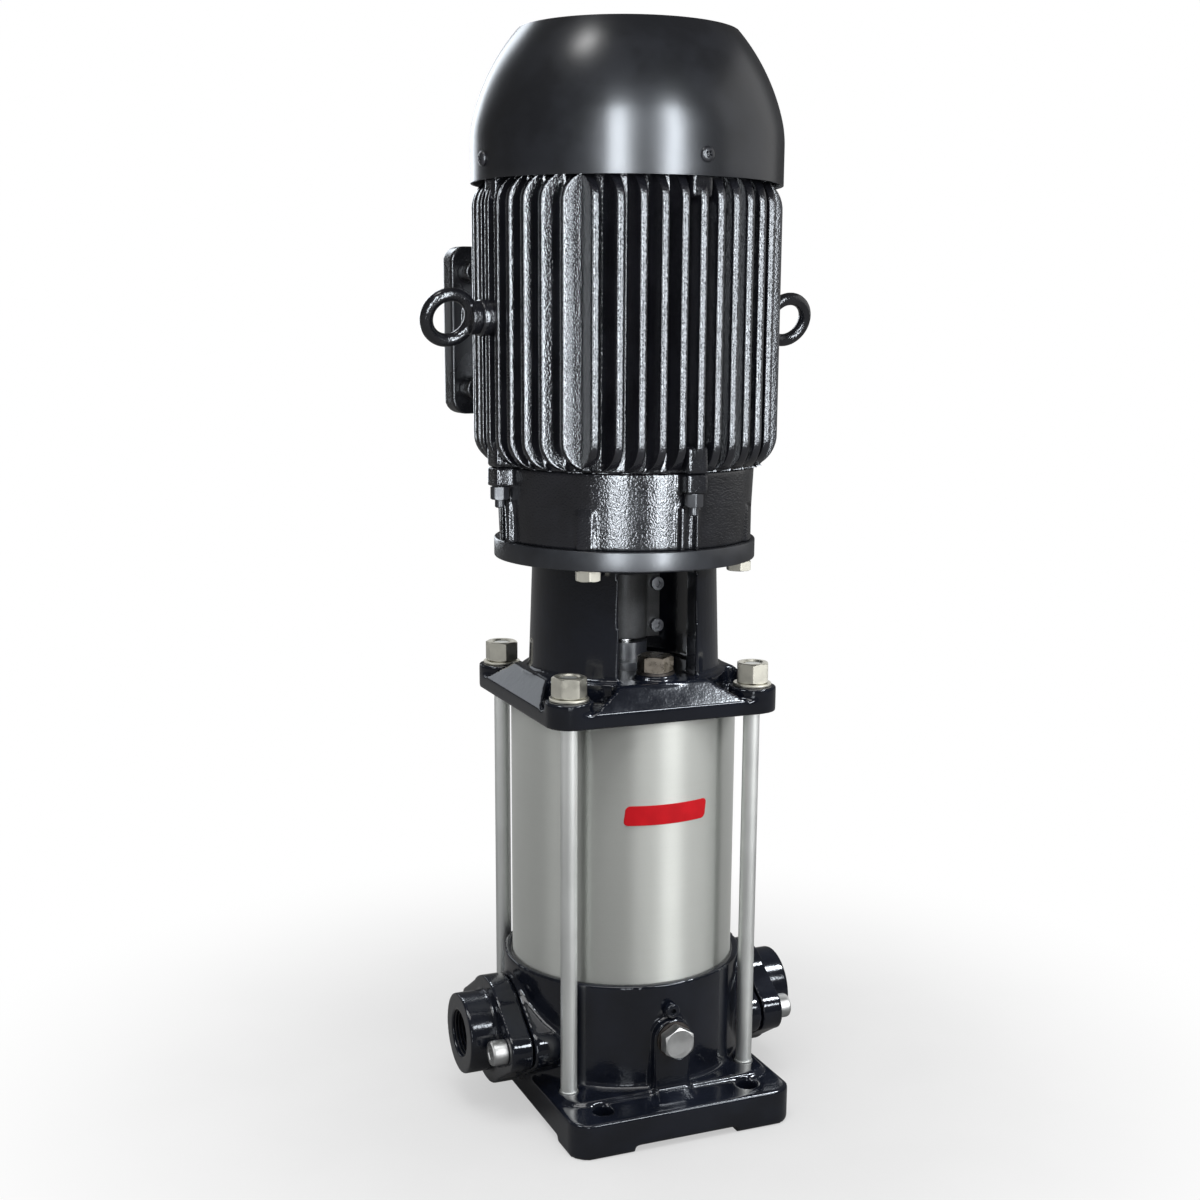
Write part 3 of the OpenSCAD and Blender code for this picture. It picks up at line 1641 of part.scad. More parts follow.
module cover_screws() {
  color("#202225")
    around(4, 0, first_lug)
      translate([cover_r, 0, cover_screw_z])
        rotate([0, 90, 0]) {
          cylinder(h = cover_screw_head_h, r = cover_screw_head_r);
          translate([0, 0, -cover_screw_l])
            cylinder(h = cover_screw_l + cover_screw_head_h, r = cover_screw_r);
        }
}

module eye_bolts() {
  color("#17181c")
    rotate(motor_turn)
      for (s = [-1, 1])
        translate([s * eye_seat_x, 0, frame_z + eye_z])
          rotate([0, s * 90, 0])
            rotate(s * eye_turn) {
              cylinder(h = eye_collar_h, r = eye_collar_r);
              translate([0, 0, -eye_grip])
                cylinder(h = eye_grip + eye_wire_r, r = eye_thread_r);
              translate([0, 0, eye_ring_r + eye_wire_r])
                rotate([90, 0, 0])
                  rotate_extrude()
                    translate([eye_ring_r, 0])
                      circle(eye_wire_r);
            }
}

// Places of the lid screws, from the box's sides and ends
lid_screw_out = 4;
lid_screw_drop = 9;
lid_screw_x = box_w / 2 + lid_screw_out;
lid_screw_z = box_h / 2 - lid_screw_drop;
// Radius of the ears that take the lid screws
lid_ear_r = 6.5;
lid_ear_l = 14;
lid_screw_r = 2.5;
lid_screw_grip = 10;
lid_screw_head_r = 4.4;
lid_screw_head_h = 3;
// Height of the box's middle and depth of its rim
box_mid_z = frame_z + box_z;
box_rim_y = box_y + box_d;

// The box's frame of reference: X to the side, Y up, Z outward along +Y of the motor
module box_frame(y) {
  rotate(motor_turn)
    translate([0, y, box_mid_z])
      rotate([-90, 0, 0])
        scale([1, -1, 1])
          children();
}

module at_lid_screws() {
  for (x = [-1, 1], z = [-1, 1])
    translate([x * lid_screw_x, z * lid_screw_z, 0])
      children();
}

// Round shape of the cable entry, which starts at a depth inside the box's side
module box_entry(depth, l, r) {
  rotate(motor_turn)
    translate([box_w / 2 - depth, box_y + box_d / 2, box_mid_z])
      rotate([0, 90, 0])
        cylinder(h = l, r = r);
}

module terminal_box() {
  color("#17181c")
    difference() {
      union() {
        box_frame(box_y)
          linear_extrude(box_d)
            square([box_w, box_h], center = true);
        box_frame(box_rim_y - lid_ear_l)
          at_lid_screws()
            cylinder(h = lid_ear_l, r = lid_ear_r);
        box_entry(box_wall, entry_boss_l + box_wall, entry_r + box_wall);
      }
      box_frame(box_y + box_wall)
        linear_extrude(box_d)
          square([box_w - 2 * box_wall, box_h - 2 * box_wall], center = true);
      box_frame(box_rim_y - lid_screw_grip - root)
        at_lid_screws()
          cylinder(h = lid_screw_grip + root + cut, r = lid_screw_r + fit);
      box_entry(box_wall + cut, entry_boss_l + box_wall + 2 * cut, entry_r);
      rotate(motor_turn)
        lead_hole(box_y - cut, box_y + box_wall + cut);
    }
}

module terminal_box_lid() {
  color("#1a1b1f")
    difference() {
      box_frame(box_rim_y)
        linear_extrude(lid_d)
          round_rect(box_w + 2 * lid_lap_x, box_h + 2 * lid_lap_z, lid_corner_r);
      box_frame(box_rim_y - cut)
        linear_extrude(lid_d - box_wall + cut)
          square([box_w - 2 * box_wall, box_h - 2 * box_wall], center = true);
      box_frame(box_rim_y - cut)
        at_lid_screws()
          cylinder(h = lid_d + 2 * cut, r = lid_screw_r + screw_play);
    }
}

module lid_screws() {
  color("#b9b9b6")
    box_frame(box_rim_y + lid_d)
      at_lid_screws() {
        cylinder(h = lid_screw_head_h, r = lid_screw_head_r);
        translate([0, 0, -lid_d - lid_screw_grip])
          cylinder(h = lid_d + lid_screw_grip, r = lid_screw_r);
      }
}

// Size of the terminal block and its six studs
block_w = 62;
block_h = 26;
block_d = 10;
block_lift = 16;
stud_r = 2.5;
stud_l = 11;
stud_pitch = 20;
stud_row = 13;

module terminal_block() {
  color("#8e3b2a")
    box_frame(box_y + box_wall)
      translate([0, block_lift, 0]) {
        linear_extrude(block_d)
          square([block_w, block_h], center = true);
        for (x = [-1, 0, 1], z = [-1, 1])
          translate([x * stud_pitch, z * stud_row / 2, 0])
            cylinder(h = block_d + stud_l, r = stud_r);
      }
}

base_casting();
suction_flange();
discharge_flange();
flange_gaskets();
flange_screws();
drain_plug();
plug_seals();
outer_sleeve();
sleeve_seals();
stage_chamber(1);  // stage_chamber_1
stage_chamber(2);  // stage_chamber_2
stage_chamber(3);  // stage_chamber_3
stage_chamber(4);  // stage_chamber_4
stage_chamber(5);  // stage_chamber_5
neck_rings();
inlet_plate();
lower_bearing_bush();
pump_head();
tie_rods();
rod_nuts();
rod_washers();
priming_plug();
seal_gland();
seal_seat();
pump_shaft();
impeller(1);  // impeller_1
impeller(2);  // impeller_2
impeller(3);  // impeller_3
impeller(4);  // impeller_4
impeller(5);  // impeller_5
impeller_nut();
seal_ring();
seal_bellows();
coupling_half_front();
coupling_half_rear();
coupling_screws();
motor_shaft();
rotor_core();
fan();
bearing_inner_rings();
bearing_outer_rings();
lower_bearing_balls();
upper_bearing_balls();
adapter_plate();
adapter_screws();
flange_bolts();
drive_end_shield();
shield_bolts();
motor_frame();
stator_core();
stator_windings();
eye_bolts();
terminal_box();
terminal_box_lid();
lid_screws();
terminal_block();
rear_end_shield();
fan_cover();
cover_screws();
label_plate();
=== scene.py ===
import math

import bmesh
import bpy
from bpy.props import FloatProperty, FloatVectorProperty, IntProperty, PointerProperty
from mathutils import Matrix, Vector


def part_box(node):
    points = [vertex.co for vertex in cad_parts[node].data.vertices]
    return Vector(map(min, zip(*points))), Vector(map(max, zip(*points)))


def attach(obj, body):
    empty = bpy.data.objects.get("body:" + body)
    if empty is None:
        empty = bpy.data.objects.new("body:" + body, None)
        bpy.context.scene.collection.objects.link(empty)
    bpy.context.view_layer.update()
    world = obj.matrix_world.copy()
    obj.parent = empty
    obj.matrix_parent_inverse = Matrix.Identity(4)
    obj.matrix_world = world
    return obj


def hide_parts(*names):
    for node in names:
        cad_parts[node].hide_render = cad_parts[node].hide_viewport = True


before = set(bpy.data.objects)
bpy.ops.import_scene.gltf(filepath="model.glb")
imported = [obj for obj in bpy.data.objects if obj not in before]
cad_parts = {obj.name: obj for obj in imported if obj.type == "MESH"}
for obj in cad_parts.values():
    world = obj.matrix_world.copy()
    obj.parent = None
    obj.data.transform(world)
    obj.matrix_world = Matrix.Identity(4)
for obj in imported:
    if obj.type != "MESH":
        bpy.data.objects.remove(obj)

bl_info = {
    "name": "Vertical Multistage Pump",
    "version": (1, 0, 0),
    "blender": (4, 5, 0),
    "location": "View3D > Sidebar > Pump",
    "description": "Dresses the packed model of a vertical multistage pump and its motor",
    "category": "Object",
}

MM = 0.001
MERGE = 1e-6  # points closer than this, in metres, are one
HEX_FACE = 0.96  # share of a hexagon's width that the flat face inside its chamfer has
MOTOR_TURN = math.radians(5)  # turn of the motor against the pump
WHITE = (1.0, 1.0, 1.0)
COOL = (0.87, 0.93, 1.0)
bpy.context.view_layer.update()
FINISHES = {}
STEEL_KINDS = ("steel", "sleeve", "red")  # last words of the finishes that the steel's lamps light


# ---------------------------------------------------------------- node trees


class Flow:
    """A number that runs through a node tree and can be added, multiplied and compared"""

    def __init__(self, tree, socket):
        self.tree = tree
        self.socket = socket

    def step(self, operation, *others, clamp=False):
        made = self.tree.nodes.new("ShaderNodeMath")
        made.operation = operation
        made.use_clamp = clamp
        for place, value in zip(made.inputs, (self,) + others):
            feed(self.tree, value, place)
        return Flow(self.tree, made.outputs[0])

    def __add__(self, other):
        return self.step("ADD", other)

    def __sub__(self, other):
        return self.step("SUBTRACT", other)

    def __rsub__(self, other):
        return self.step("MULTIPLY_ADD", -1.0, other)

    def __mul__(self, other):
        return self.step("MULTIPLY", other)

    def __truediv__(self, other):
        return self.step("DIVIDE", other)

    def __pow__(self, other):
        return self.step("POWER", other)

    def root(self):
        return self.step("SQRT")

    def clamped(self):
        return self.step("ADD", 0.0, clamp=True)

    def smooth(self, low, high, start=0.0, stop=1.0):
        """Rises from start to stop as the number goes from low to high"""
        made = add(self.tree, "ShaderNodeMapRange", {
            "Value": self, "From Min": low, "From Max": high, "To Min": start, "To Max": stop,
        }, interpolation_type="SMOOTHSTEP")
        return Flow(self.tree, made.outputs[0])


def feed(tree, value, place):
    """Sets a socket to a value, or links a flow, a socket or a node's first output to it"""
    if isinstance(value, Flow):
        value = value.socket
    if isinstance(value, bpy.types.Node):
        value = value.outputs[0]
    if isinstance(value, bpy.types.NodeSocket):
        tree.links.new(value, place)
    else:
        place.default_value = value


def add(tree, kind, values=None, **settings):
    """A node with its settings, and its inputs fed by name or number"""
    made = tree.nodes.new(kind)
    for name, value in settings.items():
        setattr(made, name, value)
    for key, value in (values or {}).items():
        feed(tree, value, made.inputs[key])
    return made


def new_tree(name, kind, inputs, outputs):
    """A node group with named sockets, as its tree, its inputs and its output node"""
    tree = bpy.data.node_groups.new(name, kind)
    for label, form, value in inputs:
        made = tree.interface.new_socket(label, in_out="INPUT", socket_type="NodeSocket" + form)
        if value is not None:
            made.default_value = value
    for label, form in outputs:
        tree.interface.new_socket(label, in_out="OUTPUT", socket_type="NodeSocket" + form)
    entry = add(tree, "NodeGroupInput").outputs
    return tree, entry, add(tree, "NodeGroupOutput")


def fresh_tree(owner):
    """The emptied node tree of a material or a world"""
    owner.use_nodes = True
    owner.node_tree.nodes.clear()
    return owner.node_tree


def tree_named(name, make):
    """A node tree that is made the first time that it is asked for"""
    return bpy.data.node_groups.get(name) or make()


def run_tree(ob, tree, values):
    """Runs a geometry tree on an object and keeps the plain mesh that comes out"""
    modifier = ob.modifiers.new(tree.name, "NODES")
    modifier.node_group = tree
    for item in tree.interface.items_tree:
        if item.item_type == "SOCKET" and item.in_out == "INPUT" and item.name in values:
            modifier[item.identifier] = values[item.name]
    plain = evaluated_mesh(ob)
    ob.modifiers.remove(modifier)
    ob.data = plain


def evaluated_mesh(ob):
    """A plain mesh of an object as its modifiers leave it"""
    bpy.context.view_layer.update()
    depsgraph = bpy.context.evaluated_depsgraph_get()
    return bpy.data.meshes.new_from_object(
        ob.evaluated_get(depsgraph), preserve_all_data_layers=True, depsgraph=depsgraph)


# ---------------------------------------------------------------- mesh helpers


def link(name, mesh):
    """A new object of the scene that holds a mesh"""
    ob = bpy.data.objects.new(name, mesh)
    bpy.context.scene.collection.objects.link(ob)
    return ob


def from_bmesh(name, bm, sharp=32):
    """A piece from mesh code, shaded smooth up to an angle in degrees"""
    mesh = bpy.data.meshes.new(name)
    bm.to_mesh(mesh)
    bm.free()
    shade(mesh, sharp)
    return link(name, mesh)


def shade(mesh, sharp):
    """Smooth shading with sharp edges above an angle in degrees"""
    mesh.polygons.foreach_set("use_smooth", [True] * len(mesh.polygons))
    mesh.set_sharp_from_angle(angle=math.radians(sharp))


def rounded(corners, steps=4):
    """An outline of radius and height whose corners carry their own rounding radius"""
    outline = []
    for i, (x, y, radius) in enumerate(corners):
        here = Vector((x, y))
        if not radius:
            outline.append((x, y))
            continue
        back = Vector(corners[i - 1][:2]) - here
        on = Vector(corners[(i + 1) % len(corners)][:2]) - here
        half = back.angle(on) / 2
        reach = radius / math.tan(half)
        middle = (back.normalized() + on.normalized()).normalized()
        centre = here + middle * radius / math.sin(half)
        first = here + back.normalized() * reach - centre
        last = here + on.normalized() * reach - centre
        sweep = first.angle(last)
        for k in range(steps + 1):
            t = k / steps
            arm = (first * math.sin((1 - t) * sweep) + last * math.sin(t * sweep)) / math.sin(sweep)
            outline.append(tuple(centre + arm))
    return outline


def bridge(bm, rings):
    """Quads between each ring of mesh points and the next"""
    for lower, upper in zip(rings, rings[1:]):
        for k in range(len(lower)):
            j = (k + 1) % len(lower)
            bm.faces.new((lower[k], lower[j], upper[j], upper[k]))


def skin(bm, rings, closed=False):
    """Quads between rings of places in millimetres, and from the last to the first at will"""
    made = [[bm.verts.new(Vector(p) * MM) for p in ring] for ring in rings]
    bridge(bm, made + made[:1] if closed else made)


def sew(bm):
    """Merges doubled points and turns all faces outward"""
    bmesh.ops.remove_doubles(bm, verts=bm.verts, dist=MERGE)
    bmesh.ops.recalc_face_normals(bm, faces=bm.faces)


def circle(radius, z, count):
    """Evenly spaced points round the Z axis at a height"""
    return [(radius * math.cos(math.tau * k / count), radius * math.sin(math.tau * k / count), z)
            for k in range(count)]


def lathe(name, outline, count, closed=True):
    """A turned piece from an outline of radius and height"""
    bm = bmesh.new()
    skin(bm, [circle(r, z, count) for r, z in outline], closed)
    sew(bm)
    return from_bmesh(name, bm)


def hex_reach(across, angle):
    """Distance from the centre to the side of a hexagon at an angle, with its corners eased"""
    apothem, eased = across / 2, 0.985
    turned = (angle + math.pi / 6) % (math.pi / 3) - math.pi / 6
    return min(apothem / math.cos(turned), apothem / math.cos(math.pi / 6) * eased)


def hex_ring(across, z, count, crown=0):
    """A hexagon's outline at a height; crown is 1 or -1 where a 30 degree cone cuts its corners"""
    points = []
    for k in range(count):
        angle = math.tau * k / count
        reach = hex_reach(across, angle)
        past_face = max(0, reach - across / 2 * HEX_FACE)
        level = z + crown * past_face * math.tan(math.radians(-30))
        points.append((reach * math.cos(angle), reach * math.sin(angle), level))
    return points


def hex_head(name, across, height, hole=0.0, foot=0.0, both=False, dish=0.0):
    """A hexagon head or nut along +Z with a chamfered crown, and at will one at its foot too.
    foot is the height of a round face under it, dish the depth of a hollow in its top.
    """
    count, lead_in = 72, 0.9
    bm = bmesh.new()
    face_r = across / 2 * HEX_FACE
    rings = [circle(hole, 0, count)]
    if foot:
        rings += [circle(face_r, 0, count), circle(face_r, foot, count),
                  hex_ring(across, foot, count)]
    elif both:
        rings += [circle(face_r, 0, count), hex_ring(across, 0, count, -1)]
    else:
        rings += [hex_ring(across, 0, count)]
    rings += [hex_ring(across, height, count, 1), circle(face_r, height, count)]
    if hole:
        rings += [circle(hole + lead_in, height, count), circle(hole, height - lead_in, count)]
        skin(bm, rings, closed=True)
    else:
        rings += [circle(face_r * 0.6, height - dish, count), circle(0, height - dish, count)]
        skin(bm, rings)
    sew(bm)
    return from_bmesh(name, bm, 24)


def socket_head(name, radius, height, key, depth, knurl=0.0):
    """The head of a socket screw along +Z, with its hexagon recess and fine knurl"""
    count = 96
    bm = bmesh.new()

    def side(z):
        return [(
            (radius - knurl * (k % 2)) * math.cos(math.tau * k / count),
            (radius - knurl * (k % 2)) * math.sin(math.tau * k / count), z) for k in range(count)]

    skin(bm, [
        circle(0, 0, count), circle(radius * 0.93, 0, count),
        side(radius * 0.07), side(height * 0.84),
        circle(radius * 0.95, height * 0.95, count), circle(radius * 0.88, height, count),
        hex_ring(key + 0.8, height, count), hex_ring(key, height - 0.5, count),
        hex_ring(key, height - depth, count), circle(0, height - depth - key * 0.2, count),
    ])
    sew(bm)
    return from_bmesh(name, bm, 35)


def pan_head(name, radius, height):
    """A low domed screw head along +Z with a cross recess"""
    count = 64
    bm = bmesh.new()

    def cross(z, reach, width):
        points = []
        for k in range(count):
            angle = math.tau * k / count
            turned = (angle + math.pi / 4) % (math.pi / 2) - math.pi / 4
            far = min(reach, width / max(abs(math.sin(turned)), 1e-3))
            points.append((far * math.cos(angle), far * math.sin(angle), z))
        return points

    dome = ((0, 0), (0.97, 0), (1, 0.3), (0.92, 0.62), (0.74, 0.88), (0.56, 1))
    skin(bm, [circle(radius * r, height * z, count) for r, z in dome] + [
        cross(height, radius * 0.5, radius * 0.13),
        cross(height * 0.35, radius * 0.3, radius * 0.09), circle(0, height * 0.3, count)])
    sew(bm)
    return from_bmesh(name, bm, 30)


def soft_box(name, low, high, radius):
    """A block whose edges are all rounded, between two corners in millimetres"""
    bm = bmesh.new()
    bmesh.ops.create_cube(bm, size=1.0)
    low, high = Vector(low) * MM, Vector(high) * MM
    for v in bm.verts:
        v.co = Vector(low[i] + (v.co[i] + 0.5) * (high[i] - low[i]) for i in range(3))
    bmesh.ops.bevel(
        bm, geom=bm.edges[:], offset=radius * MM, segments=3, profile=0.5, affect="EDGES")
    return from_bmesh(name, bm, 60)


def join(name, pieces):
    """One piece from several, which are removed"""
    bm = bmesh.new()
    for ob in pieces:
        bm.from_mesh(ob.data)
        bpy.data.objects.remove(ob)
    return from_bmesh(name, bm, 35)


def cast(name, source, voxel, passes):
    """A casting with soft edges: a skin of voxels over loose solids, smoothed in some passes"""
    remesh = source.modifiers.new("Skin", "REMESH")
    remesh.mode = "VOXEL"
    remesh.voxel_size = voxel * MM
    remesh.use_smooth_shade = True
    soften = source.modifiers.new("Soften", "SMOOTH")
    soften.factor = 0.5
    soften.iterations = passes
    mesh = evaluated_mesh(source)
    bpy.data.objects.remove(source)
    mesh.name = name
    shade(mesh, 60)
    return link(name, mesh)


def cad_copy(node):
    """A copy of a CAD node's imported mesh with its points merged"""
    bm = bmesh.new()
    bm.from_mesh(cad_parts[node].data)
    bmesh.ops.remove_doubles(bm, verts=bm.verts, dist=MERGE)
    return from_bmesh(node + "_loose", bm)


def ring_places(count, radius, z, first, facing):
    """Places on a circle round the shaft; facing is up, down or out"""
    places = []
    for k in range(count):
        angle = first + math.tau * k / count
        c, s = math.cos(angle), math.sin(angle)
        aim = {"up": (0, 0, 1), "down": (0, 0, -1), "out": (c, s, 0)}[facing]
        places.append(((radius * c, radius * s, z), aim))
    return places


def dress(piece, finish, nodes=(), body="pump_unit"):
    """Gives a finished piece its material and body, and hides the CAD nodes that it stands for"""
    piece.data.materials.clear()
    piece.data.materials.append(FINISHES[finish])
    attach(piece, body)
    if nodes:
        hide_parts(*nodes)
    return piece


# ---------------------------------------------------------------- geometry trees


def copies_tree():
    """Sets copies of a piece on points, each facing the way that its point says"""
    tree, entry, out = new_tree("Set Copies", "GeometryNodeTree", [
        ("Geometry", "Geometry", None), ("Piece", "Object", None), ("Spin", "Float", 0.0),
        ("Seed", "Int", 0), ("Material", "Material", None),
    ], [("Geometry", "Geometry")])
    aim = add(tree, "GeometryNodeInputNamedAttribute", {"Name": "facing"},
              data_type="FLOAT_VECTOR")
    lean = add(tree, "FunctionNodeAlignRotationToVector", {"Vector": aim}, axis="Z")
    most = Flow(tree, entry["Spin"])
    spin = add(tree, "FunctionNodeRandomValue", {2: most * -1, 3: most, "Seed": entry["Seed"]},
               data_type="FLOAT")
    own = add(tree, "FunctionNodeAxisAngleToRotation", {
        "Axis": (0, 0, 1), "Angle": spin.outputs[1]})
    both = add(tree, "FunctionNodeRotateRotation", {"Rotation": lean, "Rotate By": own},
               rotation_space="LOCAL")
    source = add(tree, "GeometryNodeObjectInfo", {"Object": entry["Piece"]})
    placed = add(tree, "GeometryNodeInstanceOnPoints", {
        "Points": entry["Geometry"], "Instance": source.outputs["Geometry"], "Rotation": both})
    finish_tree(tree, placed, entry["Material"], out)
    return tree


def finish_tree(tree, geometry, material, out):
    """Ends a geometry tree with real mesh and its material"""
    real = add(tree, "GeometryNodeRealizeInstances", {"Geometry": geometry})
    painted = add(tree, "GeometryNodeSetMaterial", {"Geometry": real, "Material": material})
    feed(tree, painted, out.inputs["Geometry"])


def fins_tree():
    """Groups of parallel fins round a tube, whose ends are rounded and sink into the tube"""
    tree, entry, out = new_tree("Cooling Fins", "GeometryNodeTree", [
        ("Geometry", "Geometry", None), ("Fins Each Side", "Int", 5), ("Pitch", "Float", 0.0117),
        ("Tip Thickness", "Float", 0.005), ("Tip Reach", "Float", 0.094),
        ("End Radius", "Float", 0.018), ("Tube Radius", "Float", 0.0814),
        ("Length", "Float", 0.1715), ("Foot", "Float", 0.4135), ("Draft", "Float", 0.035),
        ("Groups", "Int", 4), ("Turn", "Float", 0.0), ("Material", "Material", None),
    ], [("Geometry", "Geometry")])
    # Each fin is bent from a sheet: across it, from -1 to 1, run one flank, the round tip and the
    # other flank, and along it the fin's length. What lies past the flanks is sunk in the tube.
    round_part, sheet_half, sink, bulge_share = 0.4, 1.1, 1.5 * MM, 0.22
    gap_share, fillet_from, fillet_width = 0.96, 0.66, 1.1 * MM

    def size(name):
        return Flow(tree, entry[name])

    row = add(tree, "GeometryNodeMeshLine", {
        "Count": size("Fins Each Side") * 2 + 1, "Offset": (0, 0, 1)}, mode="OFFSET")
    sheet = add(tree, "GeometryNodeMeshGrid", {
        "Size X": sheet_half * 2, "Size Y": 1.0, "Vertices X": 23, "Vertices Y": 51})
    lined = add(tree, "GeometryNodeInstanceOnPoints", {"Points": row, "Instance": sheet})
    loose = add(tree, "GeometryNodeRealizeInstances", {"Geometry": lined})
    at = add(tree, "ShaderNodeSeparateXYZ", {0: add(tree, "GeometryNodeInputPosition")})
    across, along, number = (Flow(tree, socket) for socket in at.outputs)
    off = (number.step("ROUND") - size("Fins Each Side")) * size("Pitch")
    share = ((along + 0.5) * math.pi).step("COSINE") * -0.5 + 0.5
    height = share * size("Length")
    near = height.step("MINIMUM", size("Length") - height)
    bend = 1.0 - (1.0 - near / size("End Radius")).clamped() ** 2.0
    reach = size("Tip Reach") - size("End Radius") + size("End Radius") * bend.root()
    root_x = (size("Tube Radius") ** 2.0 - off * off).root()
    full = (size("Tip Reach") ** 2.0 - off * off).root() - root_x
    tip = ((reach * reach - off * off).step("MAXIMUM", 0.0).root() - root_x).step("MAXIMUM", -sink)
    low = 1.0 - (tip / full).clamped()
    half = size("Tip Thickness") * 0.5
    wide = half + (size("Pitch") * 0.5 - half) * low ** 2.2 * gap_share
    spread = across.step("ABSOLUTE")
    arc = (spread / round_part).clamped() * (math.pi / 2)
    down = ((spread - round_part) / (1.0 - round_part)).clamped()
    fillet = ((down - fillet_from) / (1.0 - fillet_from)).clamped() ** 2.0 * fillet_width
    bulge = size("Tip Thickness") * bulge_share
    out_x = (tip - bulge) * (1.0 - down) + bulge * arc.step("COSINE") ** 0.6
    draft = size("Draft") * tip.step("MAXIMUM", 0.0) * down
    out_y = wide * arc.step("SINE") ** 0.8 + draft + fillet
    kept = spread.step("LESS_THAN", 1.05) * along.step("ABSOLUTE").step("LESS_THAN", 0.4999)
    x = root_x + kept * (out_x + sink) - sink
    y = off + kept * across.step("SIGN") * out_y
    spot = add(tree, "ShaderNodeCombineXYZ", {0: x, 1: y, 2: size("Foot") + height})
    bent = add(tree, "GeometryNodeSetPosition", {"Geometry": loose, "Position": spot})
    shut = add(tree, "GeometryNodeMergeByDistance", {"Geometry": bent, "Distance": 2 * MERGE})
    spokes = add(tree, "GeometryNodeMeshLine", {"Count": entry["Groups"], "Offset": (0, 0, 0)},
                 mode="OFFSET")
    index = Flow(tree, add(tree, "GeometryNodeInputIndex").outputs[0])
    angle = index * math.tau / size("Groups") + size("Turn")
    swing = add(tree, "FunctionNodeAxisAngleToRotation", {"Axis": (0, 0, 1), "Angle": angle})
    groups = add(tree, "GeometryNodeInstanceOnPoints", {
        "Points": spokes, "Instance": shut, "Rotation": swing})
    finish_tree(tree, groups, entry["Material"], out)
    return tree


def ridge_tree():
    """The ridge of a screw thread, wound along +Z and then turned and moved to its place"""
    tree, entry, out = new_tree("Thread Ridge", "GeometryNodeTree", [
        ("Geometry", "Geometry", None), ("Radius", "Float", 0.015), ("Ridge", "Float", 0.0008),
        ("Pitch", "Float", 0.0023), ("Length", "Float", 0.02), ("Turn", "Vector", None),
        ("Place", "Vector", None), ("Material", "Material", None),
    ], [("Geometry", "Geometry")])
    turns = Flow(tree, entry["Length"]) / Flow(tree, entry["Pitch"])
    wound = add(tree, "GeometryNodeCurveSpiral", {
        "Resolution": 48, "Rotations": turns, "Start Radius": entry["Radius"],
        "End Radius": entry["Radius"], "Height": entry["Length"]})
    crest = add(tree, "GeometryNodeCurvePrimitiveCircle", {
        "Resolution": 5, "Radius": entry["Ridge"]}, mode="RADIUS")
    tube = add(tree, "GeometryNodeCurveToMesh", {
        "Curve": wound, "Profile Curve": crest, "Fill Caps": True})
    put = add(tree, "GeometryNodeTransform", {
        "Geometry": tube, "Translation": entry["Place"], "Rotation": entry["Turn"]})
    finish_tree(tree, put, entry["Material"], out)
    return tree


def set_copies(name, nodes, master, places, finish, spin=0.0, seed=1):
    """Copies of a master at places in millimetres, as one piece that stands for CAD nodes"""
    mesh = bpy.data.meshes.new(name)
    mesh.from_pydata([Vector(at) * MM for at, aim in places], [], [])
    mesh.attributes.new("facing", "FLOAT_VECTOR", "POINT").data.foreach_set(
        "vector", [part for at, aim in places for part in aim])
    piece = link(name, mesh)
    run_tree(piece, tree_named("Set Copies", copies_tree), {
        "Piece": master, "Spin": spin, "Seed": seed, "Material": FINISHES[finish]})
    bpy.data.objects.remove(master)
    dress(piece, finish, nodes)


# ---------------------------------------------------------------- shader groups


def noise(tree, vector, scale, detail=2.0, rough=0.5):
    """Soft noise from 0 to 1 over a vector"""
    made = add(tree, "ShaderNodeTexNoise", {
        "Vector": vector, "Scale": scale, "Detail": detail, "Roughness": rough})
    return Flow(tree, made.outputs["Fac"])


def sized_noise(tree, entry, size, detail, rough):
    """Noise whose marks are as large as an input of the group says, in millimetres"""
    scale = add(tree, "ShaderNodeMath", {0: 1.0 / MM, 1: entry[size]}, operation="DIVIDE")
    return noise(tree, entry["Vector"], scale, detail, rough)


def cast_skin_group():
    """Sand casting under paint: a wavy peel, a fine grain and worn patches"""
    tree, entry, out = new_tree("Cast Skin", "ShaderNodeTree", [
        ("Vector", "Vector", None), ("Peel Size", "Float", 4.0), ("Grain Size", "Float", 1.0),
        ("Patch Size", "Float", 30.0),
    ], [("Peel", "Float"), ("Grain", "Float"), ("Patch", "Float")])
    peel = sized_noise(tree, entry, "Peel Size", 1.0, 0.4)
    grain = sized_noise(tree, entry, "Grain Size", 1.5, 0.5)
    patch = sized_noise(tree, entry, "Patch Size", 3.0, 0.55)
    feed(tree, peel, out.inputs["Peel"])
    feed(tree, grain.smooth(0.25, 0.8), out.inputs["Grain"])
    feed(tree, patch.smooth(0.38, 0.64), out.inputs["Patch"])
    return tree


def brushed_group():
    """Fine lines from brushing or turning; Stretch is the lines in a metre along each axis"""
    tree, entry, out = new_tree("Brushed Lines", "ShaderNodeTree", [
        ("Vector", "Vector", None), ("Stretch", "Vector", None),
    ], [("Line", "Float"), ("Band", "Float")])
    drawn = add(tree, "ShaderNodeVectorMath", {0: entry["Vector"], 1: entry["Stretch"]},
                operation="MULTIPLY")
    feed(tree, noise(tree, drawn, 1.0, 4.0, 0.65).smooth(0.25, 0.75), out.inputs["Line"])
    feed(tree, noise(tree, drawn, 0.07).smooth(0.3, 0.7), out.inputs["Band"])
    return tree


